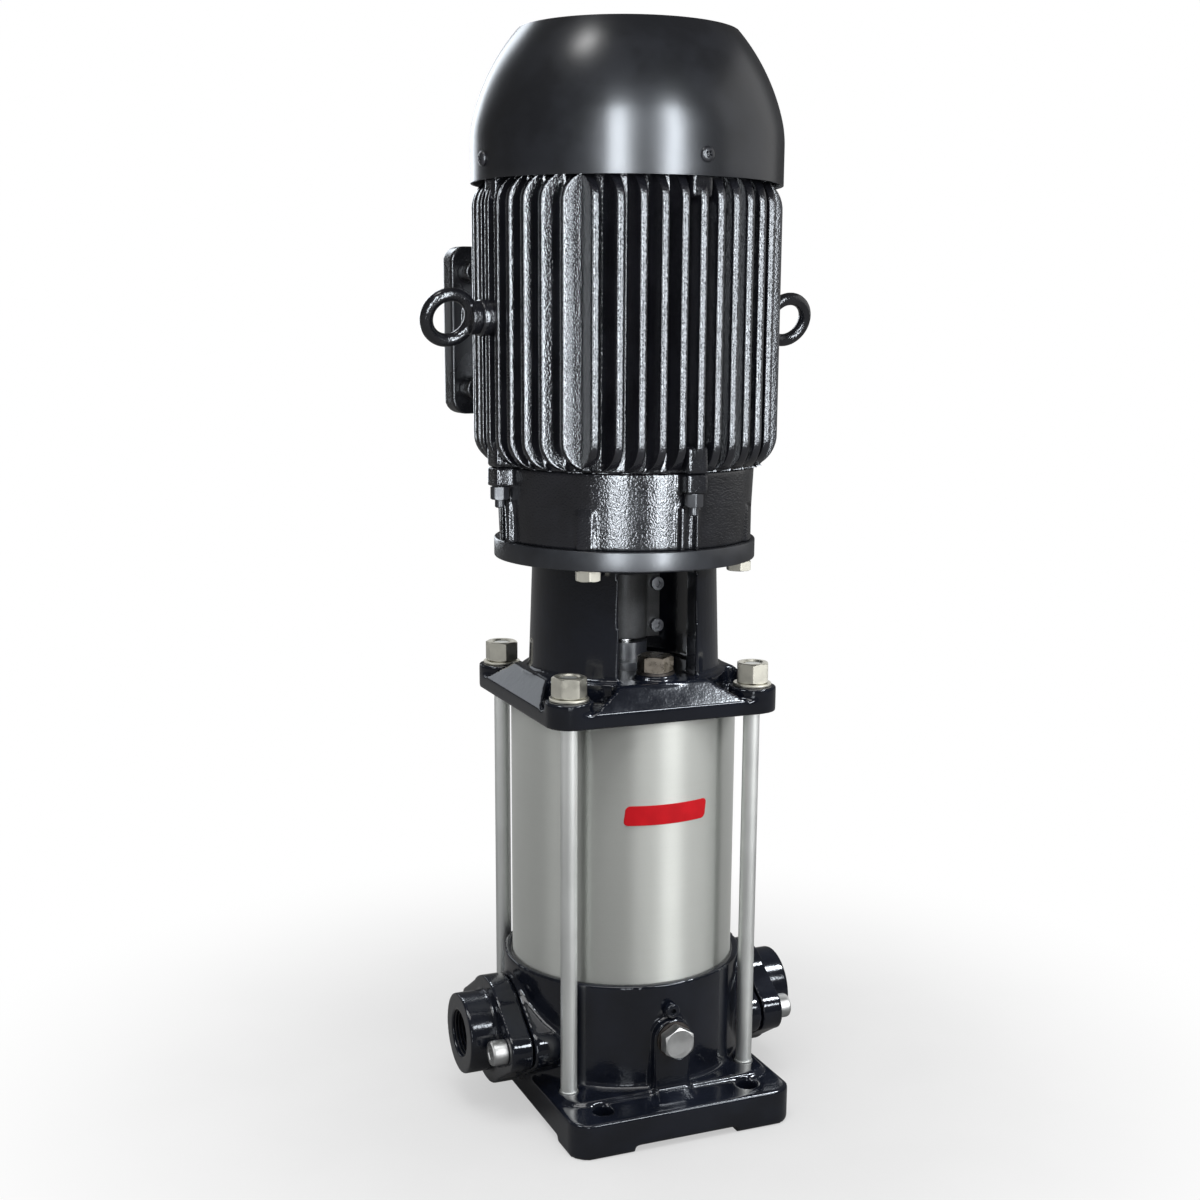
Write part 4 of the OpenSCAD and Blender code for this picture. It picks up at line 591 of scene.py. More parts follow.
def mottle_group():
    """Blotches of plating or handling, and small specks"""
    tree, entry, out = new_tree("Mottle", "ShaderNodeTree", [
        ("Vector", "Vector", None), ("Blotch Size", "Float", 4.0), ("Speck Size", "Float", 0.8),
    ], [("Blotch", "Float"), ("Speck", "Float")])
    blotch = sized_noise(tree, entry, "Blotch Size", 3.0, 0.6)
    speck = sized_noise(tree, entry, "Speck Size", 1.0, 0.5)
    feed(tree, blotch.smooth(0.35, 0.65), out.inputs["Blotch"])
    feed(tree, speck.smooth(0.55, 0.7), out.inputs["Speck"])
    return tree


class Finish:
    """A material in the making: its tree, its shader and its object coordinates"""

    def __init__(self, name, **fixed):
        FINISHES[name] = bpy.data.materials.new(name)
        self.tree = fresh_tree(FINISHES[name])
        self.shader = add(self.tree, "ShaderNodeBsdfPrincipled")
        add(self.tree, "ShaderNodeOutputMaterial", {"Surface": self.shader})
        self.place = add(self.tree, "ShaderNodeTexCoord").outputs["Object"]
        for label, value in fixed.items():
            self.give(label.replace("_", " "), value)

    def give(self, label, value):
        feed(self.tree, value, self.shader.inputs[label])

    def group(self, name, make, **values):
        """A shared effect placed in this material with its own values"""
        made = add(self.tree, "ShaderNodeGroup", node_tree=tree_named(name, make))
        for label, value in dict(values, Vector=self.place).items():
            feed(self.tree, value, made.inputs[label.replace("_", " ")])
        return [Flow(self.tree, socket) for socket in made.outputs]

    def colour(self, factor, low, high):
        """The colour goes from low to high with a mask"""
        made = add(self.tree, "ShaderNodeMix", {0: factor, 6: (*low, 1), 7: (*high, 1)},
                   data_type="RGBA")
        self.give("Base Color", made.outputs[2])

    def bump(self, height, *labels):
        """A height in millimetres, as a change of the normals with these labels"""
        made = add(self.tree, "ShaderNodeBump", {"Height": height, "Distance": MM, "Strength": 1.0})
        for label in labels or ["Normal"]:
            self.give(label, made)

    def brush_round(self):
        """Stretches the shine across lines that run round the shaft"""
        self.give("Tangent", add(self.tree, "ShaderNodeTangent", direction_type="RADIAL", axis="Z"))


def shift(colour, by):
    """A colour made darker or lighter by a factor"""
    return tuple(min(1.0, max(0.0, part * by)) for part in colour)


def enamel(name, colour, rough, peel, grain, coat=0.0, **fixed):
    """Paint over a casting; peel and grain are pairs of size and depth in millimetres"""
    made = Finish(name, Coat_Weight=coat, **fixed)
    high, fine, worn = made.group("Cast Skin", cast_skin_group, Peel_Size=peel[0],
                                  Grain_Size=grain[0], Patch_Size=30.0)
    made.colour(worn * 0.7 + fine * 0.3, shift(colour, 0.7), shift(colour, 1.35))
    made.give("Roughness", worn * (rough[1] - rough[0]) + rough[0])
    made.bump(high * peel[1] + fine * grain[1], *(["Normal", "Coat Normal"] if coat else []))


def metal(name, colour, rough, stretch, depth=0.004, blotch=5.0, stain=0.8, pits=0.003, **fixed):
    """Bare or plated metal with brushed or turned lines, blotches and specks"""
    made = Finish(name, Metallic=1.0, **fixed)
    line, band = made.group("Brushed Lines", brushed_group, Stretch=stretch)
    spot, speck = made.group("Mottle", mottle_group, Blotch_Size=blotch)
    made.colour(line * 0.25 + band * 0.25 + spot * 0.5, shift(colour, stain), colour)
    shine = line * 0.06 + spot * (rough[1] - rough[0]) + speck * 0.05 + rough[0]
    made.give("Roughness", shine)
    made.bump(line * depth + speck * pits)
    return made


def moulded(name, colour, rough, grain=(0.6, 0.01), **fixed):
    """Plastic, rubber, carbon or ceramic with a fine grain and faint clouding"""
    made = Finish(name, **fixed)
    high, fine, worn = made.group("Cast Skin", cast_skin_group, Peel_Size=6.0,
                                  Grain_Size=grain[0], Patch_Size=25.0)
    made.colour(worn * 0.6 + high * 0.4, shift(colour, 0.85), shift(colour, 1.12))
    made.give("Roughness", worn * 0.08 + rough)
    made.bump(fine * grain[1])


# ---------------------------------------------------------------- settings


def length_of(name, what, millimetres):
    return FloatProperty(name=name, description=what, default=millimetres * MM, unit="LENGTH",
                         precision=5)


def angle_of(name, what, degrees):
    return FloatProperty(name=name, description=what, default=math.radians(degrees),
                         subtype="ANGLE")


def shade_of(name, what, colour):
    return FloatVectorProperty(name=name, description=what, default=colour, subtype="COLOR", size=3,
                               min=0.0, max=1.0)


class PumpSizes(bpy.types.PropertyGroup):
    """Sizes of the pump's own pieces"""
    sleeve_radius: length_of("Sleeve Radius", "Outside radius of the bright sleeve", 72.5)
    sleeve_wall: length_of("Sleeve Wall", "Sheet thickness of the sleeve", 1.5)
    label_width: length_of("Label Width", "Width of the red label along the sleeve", 56)
    label_height: length_of("Label Height", "Height of the red label", 12.5)
    label_lift: length_of("Label Lift", "Height of the label's middle above the ground", 203.5)
    label_corner: length_of("Label Corner", "Rounding radius of the label's corners", 3.0)
    label_slant: angle_of("Label Slant", "Slant of the label's ends", 7)
    rod_radius: length_of("Rod Radius", "Radius of the tie rods", 5.2)
    rod_offset: length_of("Rod Offset", "Distance of each rod from the shaft along X and Y", 61.6)
    port_height: length_of("Port Height", "Height of the port axis above the ground", 48)


class MotorSizes(bpy.types.PropertyGroup):
    """Sizes of the motor's finned frame and cover"""
    fins_each_side: IntProperty(
        name="Fins Each Side", description="Fins on each side of a group's middle fin",
        default=5, min=1, max=12)
    fin_pitch: length_of("Fin Pitch", "Distance between two fins of a group", 11.7)
    fin_thickness: length_of("Fin Thickness", "Thickness of a fin at its tip", 5.0)
    fin_reach: length_of("Fin Reach", "Radius of the circle that the fin tips lie on", 94)
    fin_end: length_of("Fin End Radius", "Rounding radius of the fins' ends", 18)
    tube_radius: length_of("Tube Radius", "Outside radius of the frame between the fins", 82)
    frame_foot: length_of("Frame Foot", "Height of the frame's lower end", 413.5)
    frame_length: length_of("Frame Length", "Length of the frame", 171.5)
    cover_radius: length_of("Cover Radius", "Outside radius of the fan cover", 95)
    cover_sheet: length_of("Cover Sheet", "Sheet thickness of the fan cover", 1.6)


class FinishColours(bpy.types.PropertyGroup):
    """Colours of the paints and metals that show"""
    motor_paint: shade_of("Motor Paint", "Gloss black of the motor", (0.005, 0.005, 0.0062))
    pump_paint: shade_of("Pump Paint", "Blue-black of the pump", (0.006, 0.0074, 0.0125))
    cover_paint: shade_of("Cover Paint", "Satin black of the cover", (0.006, 0.0063, 0.0078))
    ring_paint: shade_of("Ring Paint", "Grey-black of the ring", (0.01, 0.0105, 0.0125))
    sleeve_steel: shade_of("Sleeve Steel", "Brushed stainless steel", (0.6, 0.615, 0.59))
    zinc: shade_of("Zinc", "Zinc plated nuts and washers", (0.62, 0.61, 0.54))
    label_red: shade_of("Label Red", "Plain red of the label", (0.42, 0.005, 0.01))


class StudioSettings(bpy.types.PropertyGroup):
    """Camera and lamps"""
    camera_turn: angle_of("Camera Turn", "Turn of the camera from straight ahead", -23.14)
    camera_distance: length_of("Camera Distance", "Distance of the camera from the shaft", 1083.6)
    camera_height: length_of("Camera Height", "Height of the camera above the ground", 504.2)
    camera_tilt: angle_of("Camera Tilt", "Angle by which the camera looks down", 12.20)
    camera_roll: angle_of("Camera Roll", "Turn of the picture", 0.43)
    camera_lens: FloatProperty(name="Lens", description="Focal length on a 36 mm sensor",
                               default=51.41, unit="CAMERA")
    camera_shift: FloatVectorProperty(
        name="Camera Shift", description="Shift of the picture, as a share of its width",
        default=(-0.0194, 0.0712), size=2)
    lamp_power: FloatProperty(name="Lamp Power", description="Factor on the strength of all lamps",
                              default=1.0, min=0.0, max=10.0)


def pump_sizes():
    return bpy.context.scene.pump_sizes


def motor_sizes():
    return bpy.context.scene.motor_sizes


# ---------------------------------------------------------------- operators


class MakeFinishes(bpy.types.Operator):
    """Make the materials that every piece is dressed with"""
    bl_idname = "pump.make_finishes"
    bl_label = "Finishes"

    def execute(self, context):
        colours = context.scene.pump_colours
        self.paints(colours)
        self.metals(colours)
        moulded("black_rubber", (0.02, 0.02, 0.021), 0.55, (0.4, 0.02))
        moulded("seal_carbon", (0.03, 0.03, 0.033), 0.3)
        moulded("seal_ceramic", (0.72, 0.71, 0.67), 0.2)
        moulded("neck_plastic", (0.7, 0.67, 0.58), 0.35)
        moulded("fan_plastic", (0.035, 0.035, 0.038), 0.42, (1.0, 0.02))
        moulded("block_plastic", (0.26, 0.05, 0.03), 0.4)
        moulded("label_red", colours.label_red, 0.45, (0.5, 0.001), Specular_IOR_Level=0.12)
        return {"FINISHED"}

    def paints(self, colours):
        """Each with its roughness from clean to worn, and its peel and grain"""
        enamel("pump_enamel", colours.pump_paint, (0.1, 0.2), (5.0, 0.06), (1.3, 0.02),
               coat=0.5, Coat_Roughness=0.05, IOR=1.5)
        for name, colour, rough, peel, grain in (
            ("cast_black", colours.motor_paint, (0.15, 0.19), (3.0, 0.015), (1.15, 0.08)),
            ("box_black", colours.motor_paint, (0.24, 0.36), (3.0, 0.03), (0.8, 0.03)),
            ("cover_black", colours.cover_paint, (0.28, 0.3), (9.0, 0.004), (0.5, 0.002)),
            ("ring_black", colours.ring_paint, (0.3, 0.36), (4.0, 0.006), (0.5, 0.006)),
            ("dark_steel", (0.012, 0.012, 0.014), (0.3, 0.4), (2.0, 0.02), (0.6, 0.02)),
            ("coupling_grey", (0.13, 0.13, 0.13), (0.35, 0.5), (2.5, 0.04), (0.8, 0.04)),
        ):
            enamel(name, colour, rough, peel, grain, IOR=1.75)

    def metals(self, colours):
        """Each with its roughness and its lines in a metre along each axis, and where they are
        given the depth of the lines, the size of the blotches, the stain and the depth of the pits
        """
        metal("zinc_steel", colours.zinc, (0.32, 0.42), (900, 900, 900), 0.002, 5.0, 0.85, 0.001)
        metal("plug_steel", (0.38, 0.34, 0.29), (0.2, 0.34), (700, 700, 2200), 0.004, 4.0, 0.6)
        metal("bright_steel", (0.62, 0.63, 0.63), (0.3, 0.38), (700, 1500, 700),
              0.003, 8.0, 0.88, 0.001)
        sleeve = metal("stainless_sleeve", colours.sleeve_steel, (0.46, 0.5), (18, 18, 3800),
                       0.001, 60.0, 0.97, 0.0, Anisotropic=0.97, Anisotropic_Rotation=0.25)
        sleeve.brush_round()
        metal("rod_steel", (0.8, 0.82, 0.81), (0.4, 0.44), (900, 900, 12), 0.0, 40.0, 0.92, 0.0)
        metal("stainless_pressed", (0.58, 0.58, 0.57), (0.2, 0.3), (60, 60, 900))
        metal("shaft_steel", (0.62, 0.62, 0.61), (0.14, 0.22), (30, 30, 2600))
        metal("core_steel", (0.3, 0.3, 0.32), (0.3, 0.45), (20, 20, 2000), 0.02)
        metal("copper_wire", (0.6, 0.24, 0.1), (0.22, 0.34), (500, 500, 90), 0.02)
        # Painted shade: the soft copper is near-black instead of copper-coloured, so that it reads
        # as dark under the plug heads
        metal("soft_copper", (0.035, 0.03, 0.027), (0.4, 0.5), (300, 300, 300))
        metal("machined_iron", (0.09, 0.09, 0.095), (0.36, 0.5), (1500, 40, 40), 0.006)


class MakeCastings(bpy.types.Operator):
    """Make the castings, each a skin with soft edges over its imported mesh"""
    bl_idname = "pump.make_castings"
    bl_label = "Castings"

    def execute(self, context):
        # Piece, CAD node, voxel size in millimetres, smoothing passes, finish
        for name, node, voxel, passes, finish in (
            ("base_skin", "base_casting", 1.4, 4, "pump_enamel"),
            ("suction_port", "suction_flange", 0.8, 4, "pump_enamel"),
            ("discharge_port", "discharge_flange", 0.8, 4, "pump_enamel"),
            ("head_skin", "pump_head", 1.25, 4, "pump_enamel"),
            ("coupling_front", "coupling_half_front", 0.6, 3, "coupling_grey"),
            ("coupling_rear", "coupling_half_rear", 0.6, 3, "coupling_grey"),
            ("shield_skin", "drive_end_shield", 1.15, 3, "cast_black"),
            ("lifting_eyes", "eye_bolts", 0.6, 4, "cast_black"),
            ("box_shell", "terminal_box", 1.15, 4, "box_black"),
            ("box_lid", "terminal_box_lid", 1.15, 4, "box_black"),
        ):
            body = "rotor" if "coupling" in name else "pump_unit"
            dress(cast(name, cad_copy(node), voxel, passes), finish, [node], body)
        return {"FINISHED"}


class MakePorts(bpy.types.Operator):
    """Make the ports' threads and socket screws, the plugs and the boss above the drain plug"""
    bl_idname = "pump.make_ports"
    bl_label = "Ports and Plugs"

    def execute(self, context):
        level = pump_sizes().port_height
        screw_x, screw_y, thread_x = 95.5, 38, 93.5
        drain, vent, priming = (0, -86, 60), (0, -80, 77.5), (0, -50, 289.5)
        front, up = (0, -1, 0), (0, 0, 1)
        for side, name in ((-1, "suction_thread"), (1, "discharge_thread")):
            ridge = link(name, bpy.data.meshes.new(name))
            run_tree(ridge, tree_named("Thread Ridge", ridge_tree), {
                "Radius": 15.45 * MM, "Ridge": 0.85 * MM, "Pitch": 2.309 * MM,
                "Length": 19 * MM, "Turn": (0, side * math.pi / 2, 0),
                "Place": (side * thread_x * MM, 0, level), "Material": FINISHES["machined_iron"]})
            shade(ridge.data, 50)
            dress(ridge, "machined_iron")
        places = [((side * screw_x, y, level / MM), (side, 0, 0))
                  for side in (-1, 1) for y in (-screw_y, screw_y)]
        set_copies("port_screw_heads", ["flange_screws"],
                   socket_head("port_screw", 8, 10, 8, 5, 0.12), places, "bright_steel", 3.0, 4)
        set_copies("drain_plug_head", ["drain_plug"],
                   hex_head("drain", 19, 8.5, foot=0.7, dish=0.25), [(drain, front)],
                   "bright_steel")
        set_copies("priming_plug_head", ["priming_plug"],
                   hex_head("priming", 20, 10, foot=0.6, dish=0.3), [(priming, up)], "plug_steel")
        boss = lathe("boss", rounded([(4.8, 0, 0), (4.8, 4.2, 1.4), (1.9, 4.2, 0.4), (1.9, 1, 0),
                                      (0.01, 1, 0), (0.01, 0, 0)]), 48)
        set_copies("vent_boss", [], boss, [(vent, front)], "pump_enamel")
        return {"FINISHED"}


class MakeSleeve(bpy.types.Operator):
    """Make the bright sleeve and its plain red label"""
    bl_idname = "pump.make_sleeve"
    bl_label = "Sleeve and Label"

    def execute(self, context):
        sizes = pump_sizes()
        outer = sizes.sleeve_radius / MM
        tube("sleeve_tube", "outer_sleeve", outer, outer - sizes.sleeve_wall / MM, 0.4, 0.4,
             "stainless_sleeve")
        dress(self.label(sizes, outer), "label_red", ["label_plate"])
        return {"FINISHED"}

    def label(self, sizes, radius):
        """A thin plate bent round the sleeve, with slanted ends and rounded corners"""
        half_w, half_h = sizes.label_width / MM / 2, sizes.label_height / MM / 2
        corner, slant = sizes.label_corner / MM, math.tan(sizes.label_slant)
        rows, columns = 24, 36
        back_out, edge_out, face_out, ease = 0.06, 0.45, 0.65, 0.25
        bm = bmesh.new()

        def sheet(out, inset):
            """A grid of points this far outside the sleeve, and this far inside the edge"""
            grid = []
            for i in range(rows + 1):
                z = -math.cos(math.pi * i / rows) * (half_h - inset)
                dip = max(0.0, corner - (half_h - inset - abs(z)))
                cut = corner - math.sqrt(max(0.0, corner ** 2 - dip ** 2))
                line = []
                for k in range(columns + 1):
                    x = (2 * k / columns - 1) * (half_w - inset - cut) + z * slant
                    a = x / radius
                    line.append(bm.verts.new(Vector((
                        math.sin(a) * (radius + out), -math.cos(a) * (radius + out),
                        sizes.label_lift / MM + z)) * MM))
                grid.append(line)
            return grid

        back, edge, front = sheet(back_out, 0.0), sheet(edge_out, 0.0), sheet(face_out, ease)
        for grid in (back, front):
            for lower, upper in zip(grid, grid[1:]):
                for k in range(columns):
                    bm.faces.new((lower[k], lower[k + 1], upper[k + 1], upper[k]))

        def rim(grid):
            return (grid[0][:-1] + [line[-1] for line in grid[:-1]] + grid[-1][:0:-1]
                    + [line[0] for line in grid[:0:-1]])

        bridge(bm, [rim(grid) for grid in (back, edge, front)])
        inside = [v for line in edge[1:-1] for v in line[1:-1]]
        bmesh.ops.delete(bm, geom=inside, context="VERTS")
        sew(bm)
        return from_bmesh("red_label", bm, 40)


def tube(name, node, outer, inner, outer_bend, inner_bend, finish):
    """A turned ring with eased edges, as tall as its CAD node; all sizes in millimetres"""
    low, high = (part.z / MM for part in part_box(node))
    piece = lathe(name, rounded([(outer, low, outer_bend), (outer, high, outer_bend),
                                 (inner, high, inner_bend), (inner, low, inner_bend)]), 192)
    dress(piece, finish, [node])


class MakeRods(bpy.types.Operator):
    """Make the four tie rods with their threaded tips, nuts and washers"""
    bl_idname = "pump.make_rods"
    bl_label = "Tie Rods"

    def execute(self, context):
        sizes = pump_sizes()
        at, radius = sizes.rod_offset / MM, sizes.rod_radius / MM
        places = [((x * at, y * at, 0), (0, 0, 1)) for x in (-1, 1) for y in (-1, 1)]
        under, top = 278, 280  # heights of the washers' lower and upper faces
        rod = lathe("rod", [(0, 12), (5, 12), (5.9, 13), (5.9, 26), (radius, 26.2), (radius, 262),
                            (5.5, 262.3), (5.5, 291.2), (4.9, 291.8), (0, 291.8)], 48, closed=False)
        set_copies("tie_rod_set", ["tie_rods"], rod, places, "rod_steel", 3.0, 2)
        set_copies("tie_rod_nuts", ["rod_nuts"], hex_head("nut", 19, 12.8, hole=5.95, both=True),
                   [((x, y, top), aim) for (x, y, z), aim in places], "zinc_steel", 0.5, 7)
        washer = lathe("washer", rounded([(12, under, 0.5), (12, top, 0.6), (6.3, top, 0.3),
                                          (6.3, under, 0.3)]), 64)
        set_copies("tie_rod_washers", ["rod_washers"], washer, places, "zinc_steel", 3.0, 9)
        return {"FINISHED"}


class MakeRing(bpy.types.Operator):
    """Make the turned adapter ring and the hexagon bolts under it"""
    bl_idname = "pump.make_ring"
    bl_label = "Adapter Ring"

    def execute(self, context):
        outer, inner, bolts_r = 82.5, 46.6, 74.6
        tube("adapter_ring", "adapter_plate", outer, inner, 0.9, 0.3, "ring_black")
        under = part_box("adapter_plate")[0].z / MM
        set_copies("flange_bolt_heads", ["flange_bolts"], hex_head("bolt", 14.3, 6.5, foot=0.5),
                   ring_places(4, bolts_r, under, math.radians(50), "down"), "zinc_steel", 0.4, 3)
        return {"FINISHED"}


class MakeFrame(bpy.types.Operator):
    """Make the finned motor frame"""
    bl_idname = "pump.make_frame"
    bl_label = "Finned Frame"

    def execute(self, context):
        sizes = motor_sizes()
        foot, radius = sizes.frame_foot / MM, sizes.tube_radius / MM
        top = foot + sizes.frame_length / MM
        bore_r, eye_r, eye_z = 74, 92, foot + 88.5
        lug_h, lug_half, lug_in, lug_out = 16, 7, 77, 91.5
        boss_r, boss_out, boss_in, hole_r, hole_in = 11, 8, -20, 4.1, -8
        pad_half, pad_in, pad_out, pad_low, pad_high = 44, 72, 98, 448, 538
        section = [(radius, foot), (radius, top), (bore_r, top), (bore_r, foot)]
        pieces = [lathe("tube", section, 192)]
        # The lugs for the bolts of the two end shields, and the seats of the lifting eyes
        for k in range(4):
            for z in (foot, top - lug_h):
                lug = soft_box("lug", (lug_in, -lug_half, z), (lug_out, lug_half, z + lug_h), 1.2)
                pieces.append(moved(lug, turned_by(MOTOR_TURN + k * math.pi / 2)))
        for side in (0, math.pi):
            boss = lathe("boss", rounded([
                (boss_r, boss_in, 0), (boss_r, boss_out, 1.5), (hole_r, boss_out, 0),
                (hole_r, hole_in, 0), (0.01, hole_in, 0), (0.01, boss_in, 0)]), 64)
            outward = Matrix.Rotation(math.pi / 2, 4, "Y")
            place = Matrix.Translation(Vector((eye_r, 0, eye_z)) * MM)
            pieces.append(moved(boss, turned_by(MOTOR_TURN + side) @ place @ outward))
        # The pad under the terminal box
        pad = soft_box("pad", (-pad_half, pad_in, pad_low), (pad_half, pad_out, pad_high), 1.5)
        pieces.append(moved(pad, turned_by(MOTOR_TURN)))
        shell = cast("frame_tube", join("frame_loose", pieces), 1.5, 3)
        dress(shell, "cast_black", ["motor_frame"])
        root_r = sizes.tube_radius - 0.6 * MM  # the fins start inside the tube's skin
        fins = link("frame_fins", bpy.data.meshes.new("frame_fins"))
        run_tree(fins, tree_named("Cooling Fins", fins_tree), {
            "Fins Each Side": sizes.fins_each_side, "Pitch": sizes.fin_pitch,
            "Tip Thickness": sizes.fin_thickness, "Tip Reach": sizes.fin_reach,
            "End Radius": sizes.fin_end, "Tube Radius": root_r,
            "Length": sizes.frame_length, "Foot": sizes.frame_foot, "Turn": MOTOR_TURN,
            "Material": FINISHES["cast_black"]})
        bm = bmesh.new()
        bm.from_mesh(fins.data)
        sew(bm)
        bm.to_mesh(fins.data)
        bm.free()
        shade(fins.data, 50)
        dress(fins, "cast_black")
        return {"FINISHED"}


def turned_by(angle):
    """A turn about the shaft"""
    return Matrix.Rotation(angle, 4, "Z")


def moved(ob, by):
    """An object whose mesh, not itself, has been moved"""
    ob.data.transform(by)
    return ob


class MakeMotorScrews(bpy.types.Operator):
    """Make the bolts of the motor's end shields and the screws of its terminal box and cover"""
    bl_idname = "pump.make_motor_screws"
    bl_label = "Motor Screws"

    def execute(self, context):
        drive_r, drive_z, rear_r, rear_z, rim_z = 86.2, 402, 78, 600, 592.5
        lid_x, lid_y, lid_z, lid_middle = 52, 143, 38, 493
        stud = lathe("stud", [(0, 0), (3, 0), (3, 12.3), (2.3, 13), (0, 13)], 32, closed=False)
        bolt = join("bolt", [hex_head("nut", 10, 8, foot=0.4), stud])
        places = (ring_places(4, drive_r, drive_z, MOTOR_TURN, "down")
                  + ring_places(4, rear_r, rear_z, MOTOR_TURN, "up"))
        set_copies("shield_bolt_heads", ["shield_bolts"], bolt, places, "dark_steel", 0.3, 6)
        turned = turned_by(MOTOR_TURN)
        places = [(turned @ Vector((x, lid_y, lid_middle + z)), turned @ Vector((0, 1, 0)))
                  for x in (-lid_x, lid_x) for z in (-lid_z, lid_z)]
        set_copies("lid_screw_heads", ["lid_screws"], pan_head("screw", 4.4, 3.0), places,
                   "zinc_steel", 1.5, 8)
        radius = motor_sizes().cover_radius / MM
        set_copies("cover_screw_heads", ["cover_screws"], pan_head("screw", 4.4, 2.4),
                   ring_places(4, radius, rim_z, MOTOR_TURN, "out"), "dark_steel", 1.5, 3)
        return {"FINISHED"}


class MakeCover(bpy.types.Operator):
    """Make the domed fan cover with its ring slots"""
    bl_idname = "pump.make_cover"
    bl_label = "Fan Cover"

    def execute(self, context):
        sizes = motor_sizes()
        low, high = (part.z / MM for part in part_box("fan_cover"))
        outline = self.outline(sizes.cover_radius / MM, low, high)
        slot_half, spoke_half, hub_r = 3.5, 2.5, 8.0
        sectors, fine = 6, 20
        # Rings from the rim to the middle; the faces after a slot's outer ring are left open
        rings = [(r, z, False) for r, z in outline]
        for share in (0.8, 0.62, 0.44, 0.26):
            middle = share * outline[-1][0]
            rings += [(middle + slot_half, high, True), (middle - slot_half, high, False)]
        rings += [(hub_r, high, False), (0.01, high, False)]
        bm = bmesh.new()
        made = []
        for r, z, slot in rings:
            half = math.asin(min(0.9, spoke_half / max(r, 4.0)))
            wide = math.tau / sectors - 2 * half
            spread = [-half, 0] + [half + wide * k / fine for k in range(fine)]
            angles = [math.tau * sector / sectors + a for sector in range(sectors) for a in spread]
            made.append([bm.verts.new(Vector((r * math.cos(a), r * math.sin(a), z)) * MM)
                         for a in angles])
        count = len(made[0])
        for i in range(len(rings) - 1):
            for k in range(count):
                if rings[i][2] and k % (fine + 2) >= 2:
                    continue
                j = (k + 1) % count
                bm.faces.new((made[i][k], made[i][j], made[i + 1][j], made[i + 1][k]))
        sew(bm)
        if sum(f.normal.z * f.calc_area() for f in bm.faces) < 0:
            bmesh.ops.reverse_faces(bm, faces=bm.faces)
        cover = from_bmesh("cover_shell", bm, 35)
        sheet = cover.modifiers.new("Sheet", "SOLIDIFY")
        sheet.thickness = sizes.cover_sheet
        sheet.offset = -1.0
        sheet.use_even_offset = True
        edge = cover.modifiers.new("Edges", "BEVEL")
        edge.width = 0.3 * MM
        edge.segments = 2
        edge.limit_method = "ANGLE"
        edge.angle_limit = math.radians(50)
        dress(cover, "cover_black", ["fan_cover"])
        return {"FINISHED"}

    def outline(self, radius, low, high):
        """The cover's curve from its lower rim to the edge of its flat top"""
        straight, bend_r, dome_r, slope = 23.0, 60.0, 120.0, math.radians(14)
        bend_steps, dome_steps = 6, 22
        bend_z = low + straight
        points = [(radius, low + lift) for lift in (0, 8, 16, straight)]
        for k in range(1, bend_steps + 1):
            a = slope * k / bend_steps
            points.append((radius - bend_r * (1 - math.cos(a)), bend_z + bend_r * math.sin(a)))
        x = points[-1][0] - dome_r * math.cos(slope)
        z = points[-1][1] - dome_r * math.sin(slope)
        stop = math.asin(min(1.0, (high - z) / dome_r))
        for k in range(1, dome_steps + 1):
            a = slope + (stop - slope) * k / dome_steps
            points.append((x + dome_r * math.cos(a), z + dome_r * math.sin(a)))
        return points


class DressInside(bpy.types.Operator):
    """Give every other CAD piece its finish"""
    bl_idname = "pump.dress_inside"
    bl_label = "Inner Pieces"

    def execute(self, context):
        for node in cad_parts.values():
            for place in node.material_slots:
                name = place.material.name.split(".")[0]
                if name not in FINISHES:
                    raise RuntimeError("no finish for the slot " + name)
                place.material = FINISHES[name]
        return {"FINISHED"}


# ---------------------------------------------------------------- stage


def lamp(name, turn_by, height, distance, width, tall, strength, aim_z, colour):
    """A soft box at an angle from straight ahead, in degrees, aimed at a height of the shaft"""
    data = bpy.data.lights.new(name, "AREA")
    data.shape = "RECTANGLE"
    data.size, data.size_y = width, tall
    data.energy = strength * width * tall * math.pi * bpy.context.scene.pump_studio.lamp_power
    data.color = colour
    made = bpy.data.objects.new(name, data)
    bpy.context.scene.collection.objects.link(made)
    a = math.radians(turn_by)
    made.location = (math.sin(a) * distance, -math.cos(a) * distance, height)
    made.rotation_mode = "QUATERNION"
    made.rotation_quaternion = (made.location - Vector((0, 0, aim_z))).to_track_quat("Z", "Y")
    made.visible_camera = False
    return made


def seen_by_camera(tree):
    """1 on rays that show a surface as it is, 0 on those that light another one"""
    path = add(tree, "ShaderNodeLightPath").outputs
    return Flow(tree, path["Is Camera Ray"]).step("MAXIMUM", path["Is Transmission Ray"])


def keep_off(made, pieces):
    """Keeps a lamp's light off some pieces, as a studio flag does"""
    shaded = bpy.data.collections.new(made.name + "_flag")
    for piece in pieces:
        shaded.objects.link(piece)
    made.light_linking.receiver_collection = shaded
    for entry in shaded.collection_objects:
        entry.light_linking.link_state = "EXCLUDE"


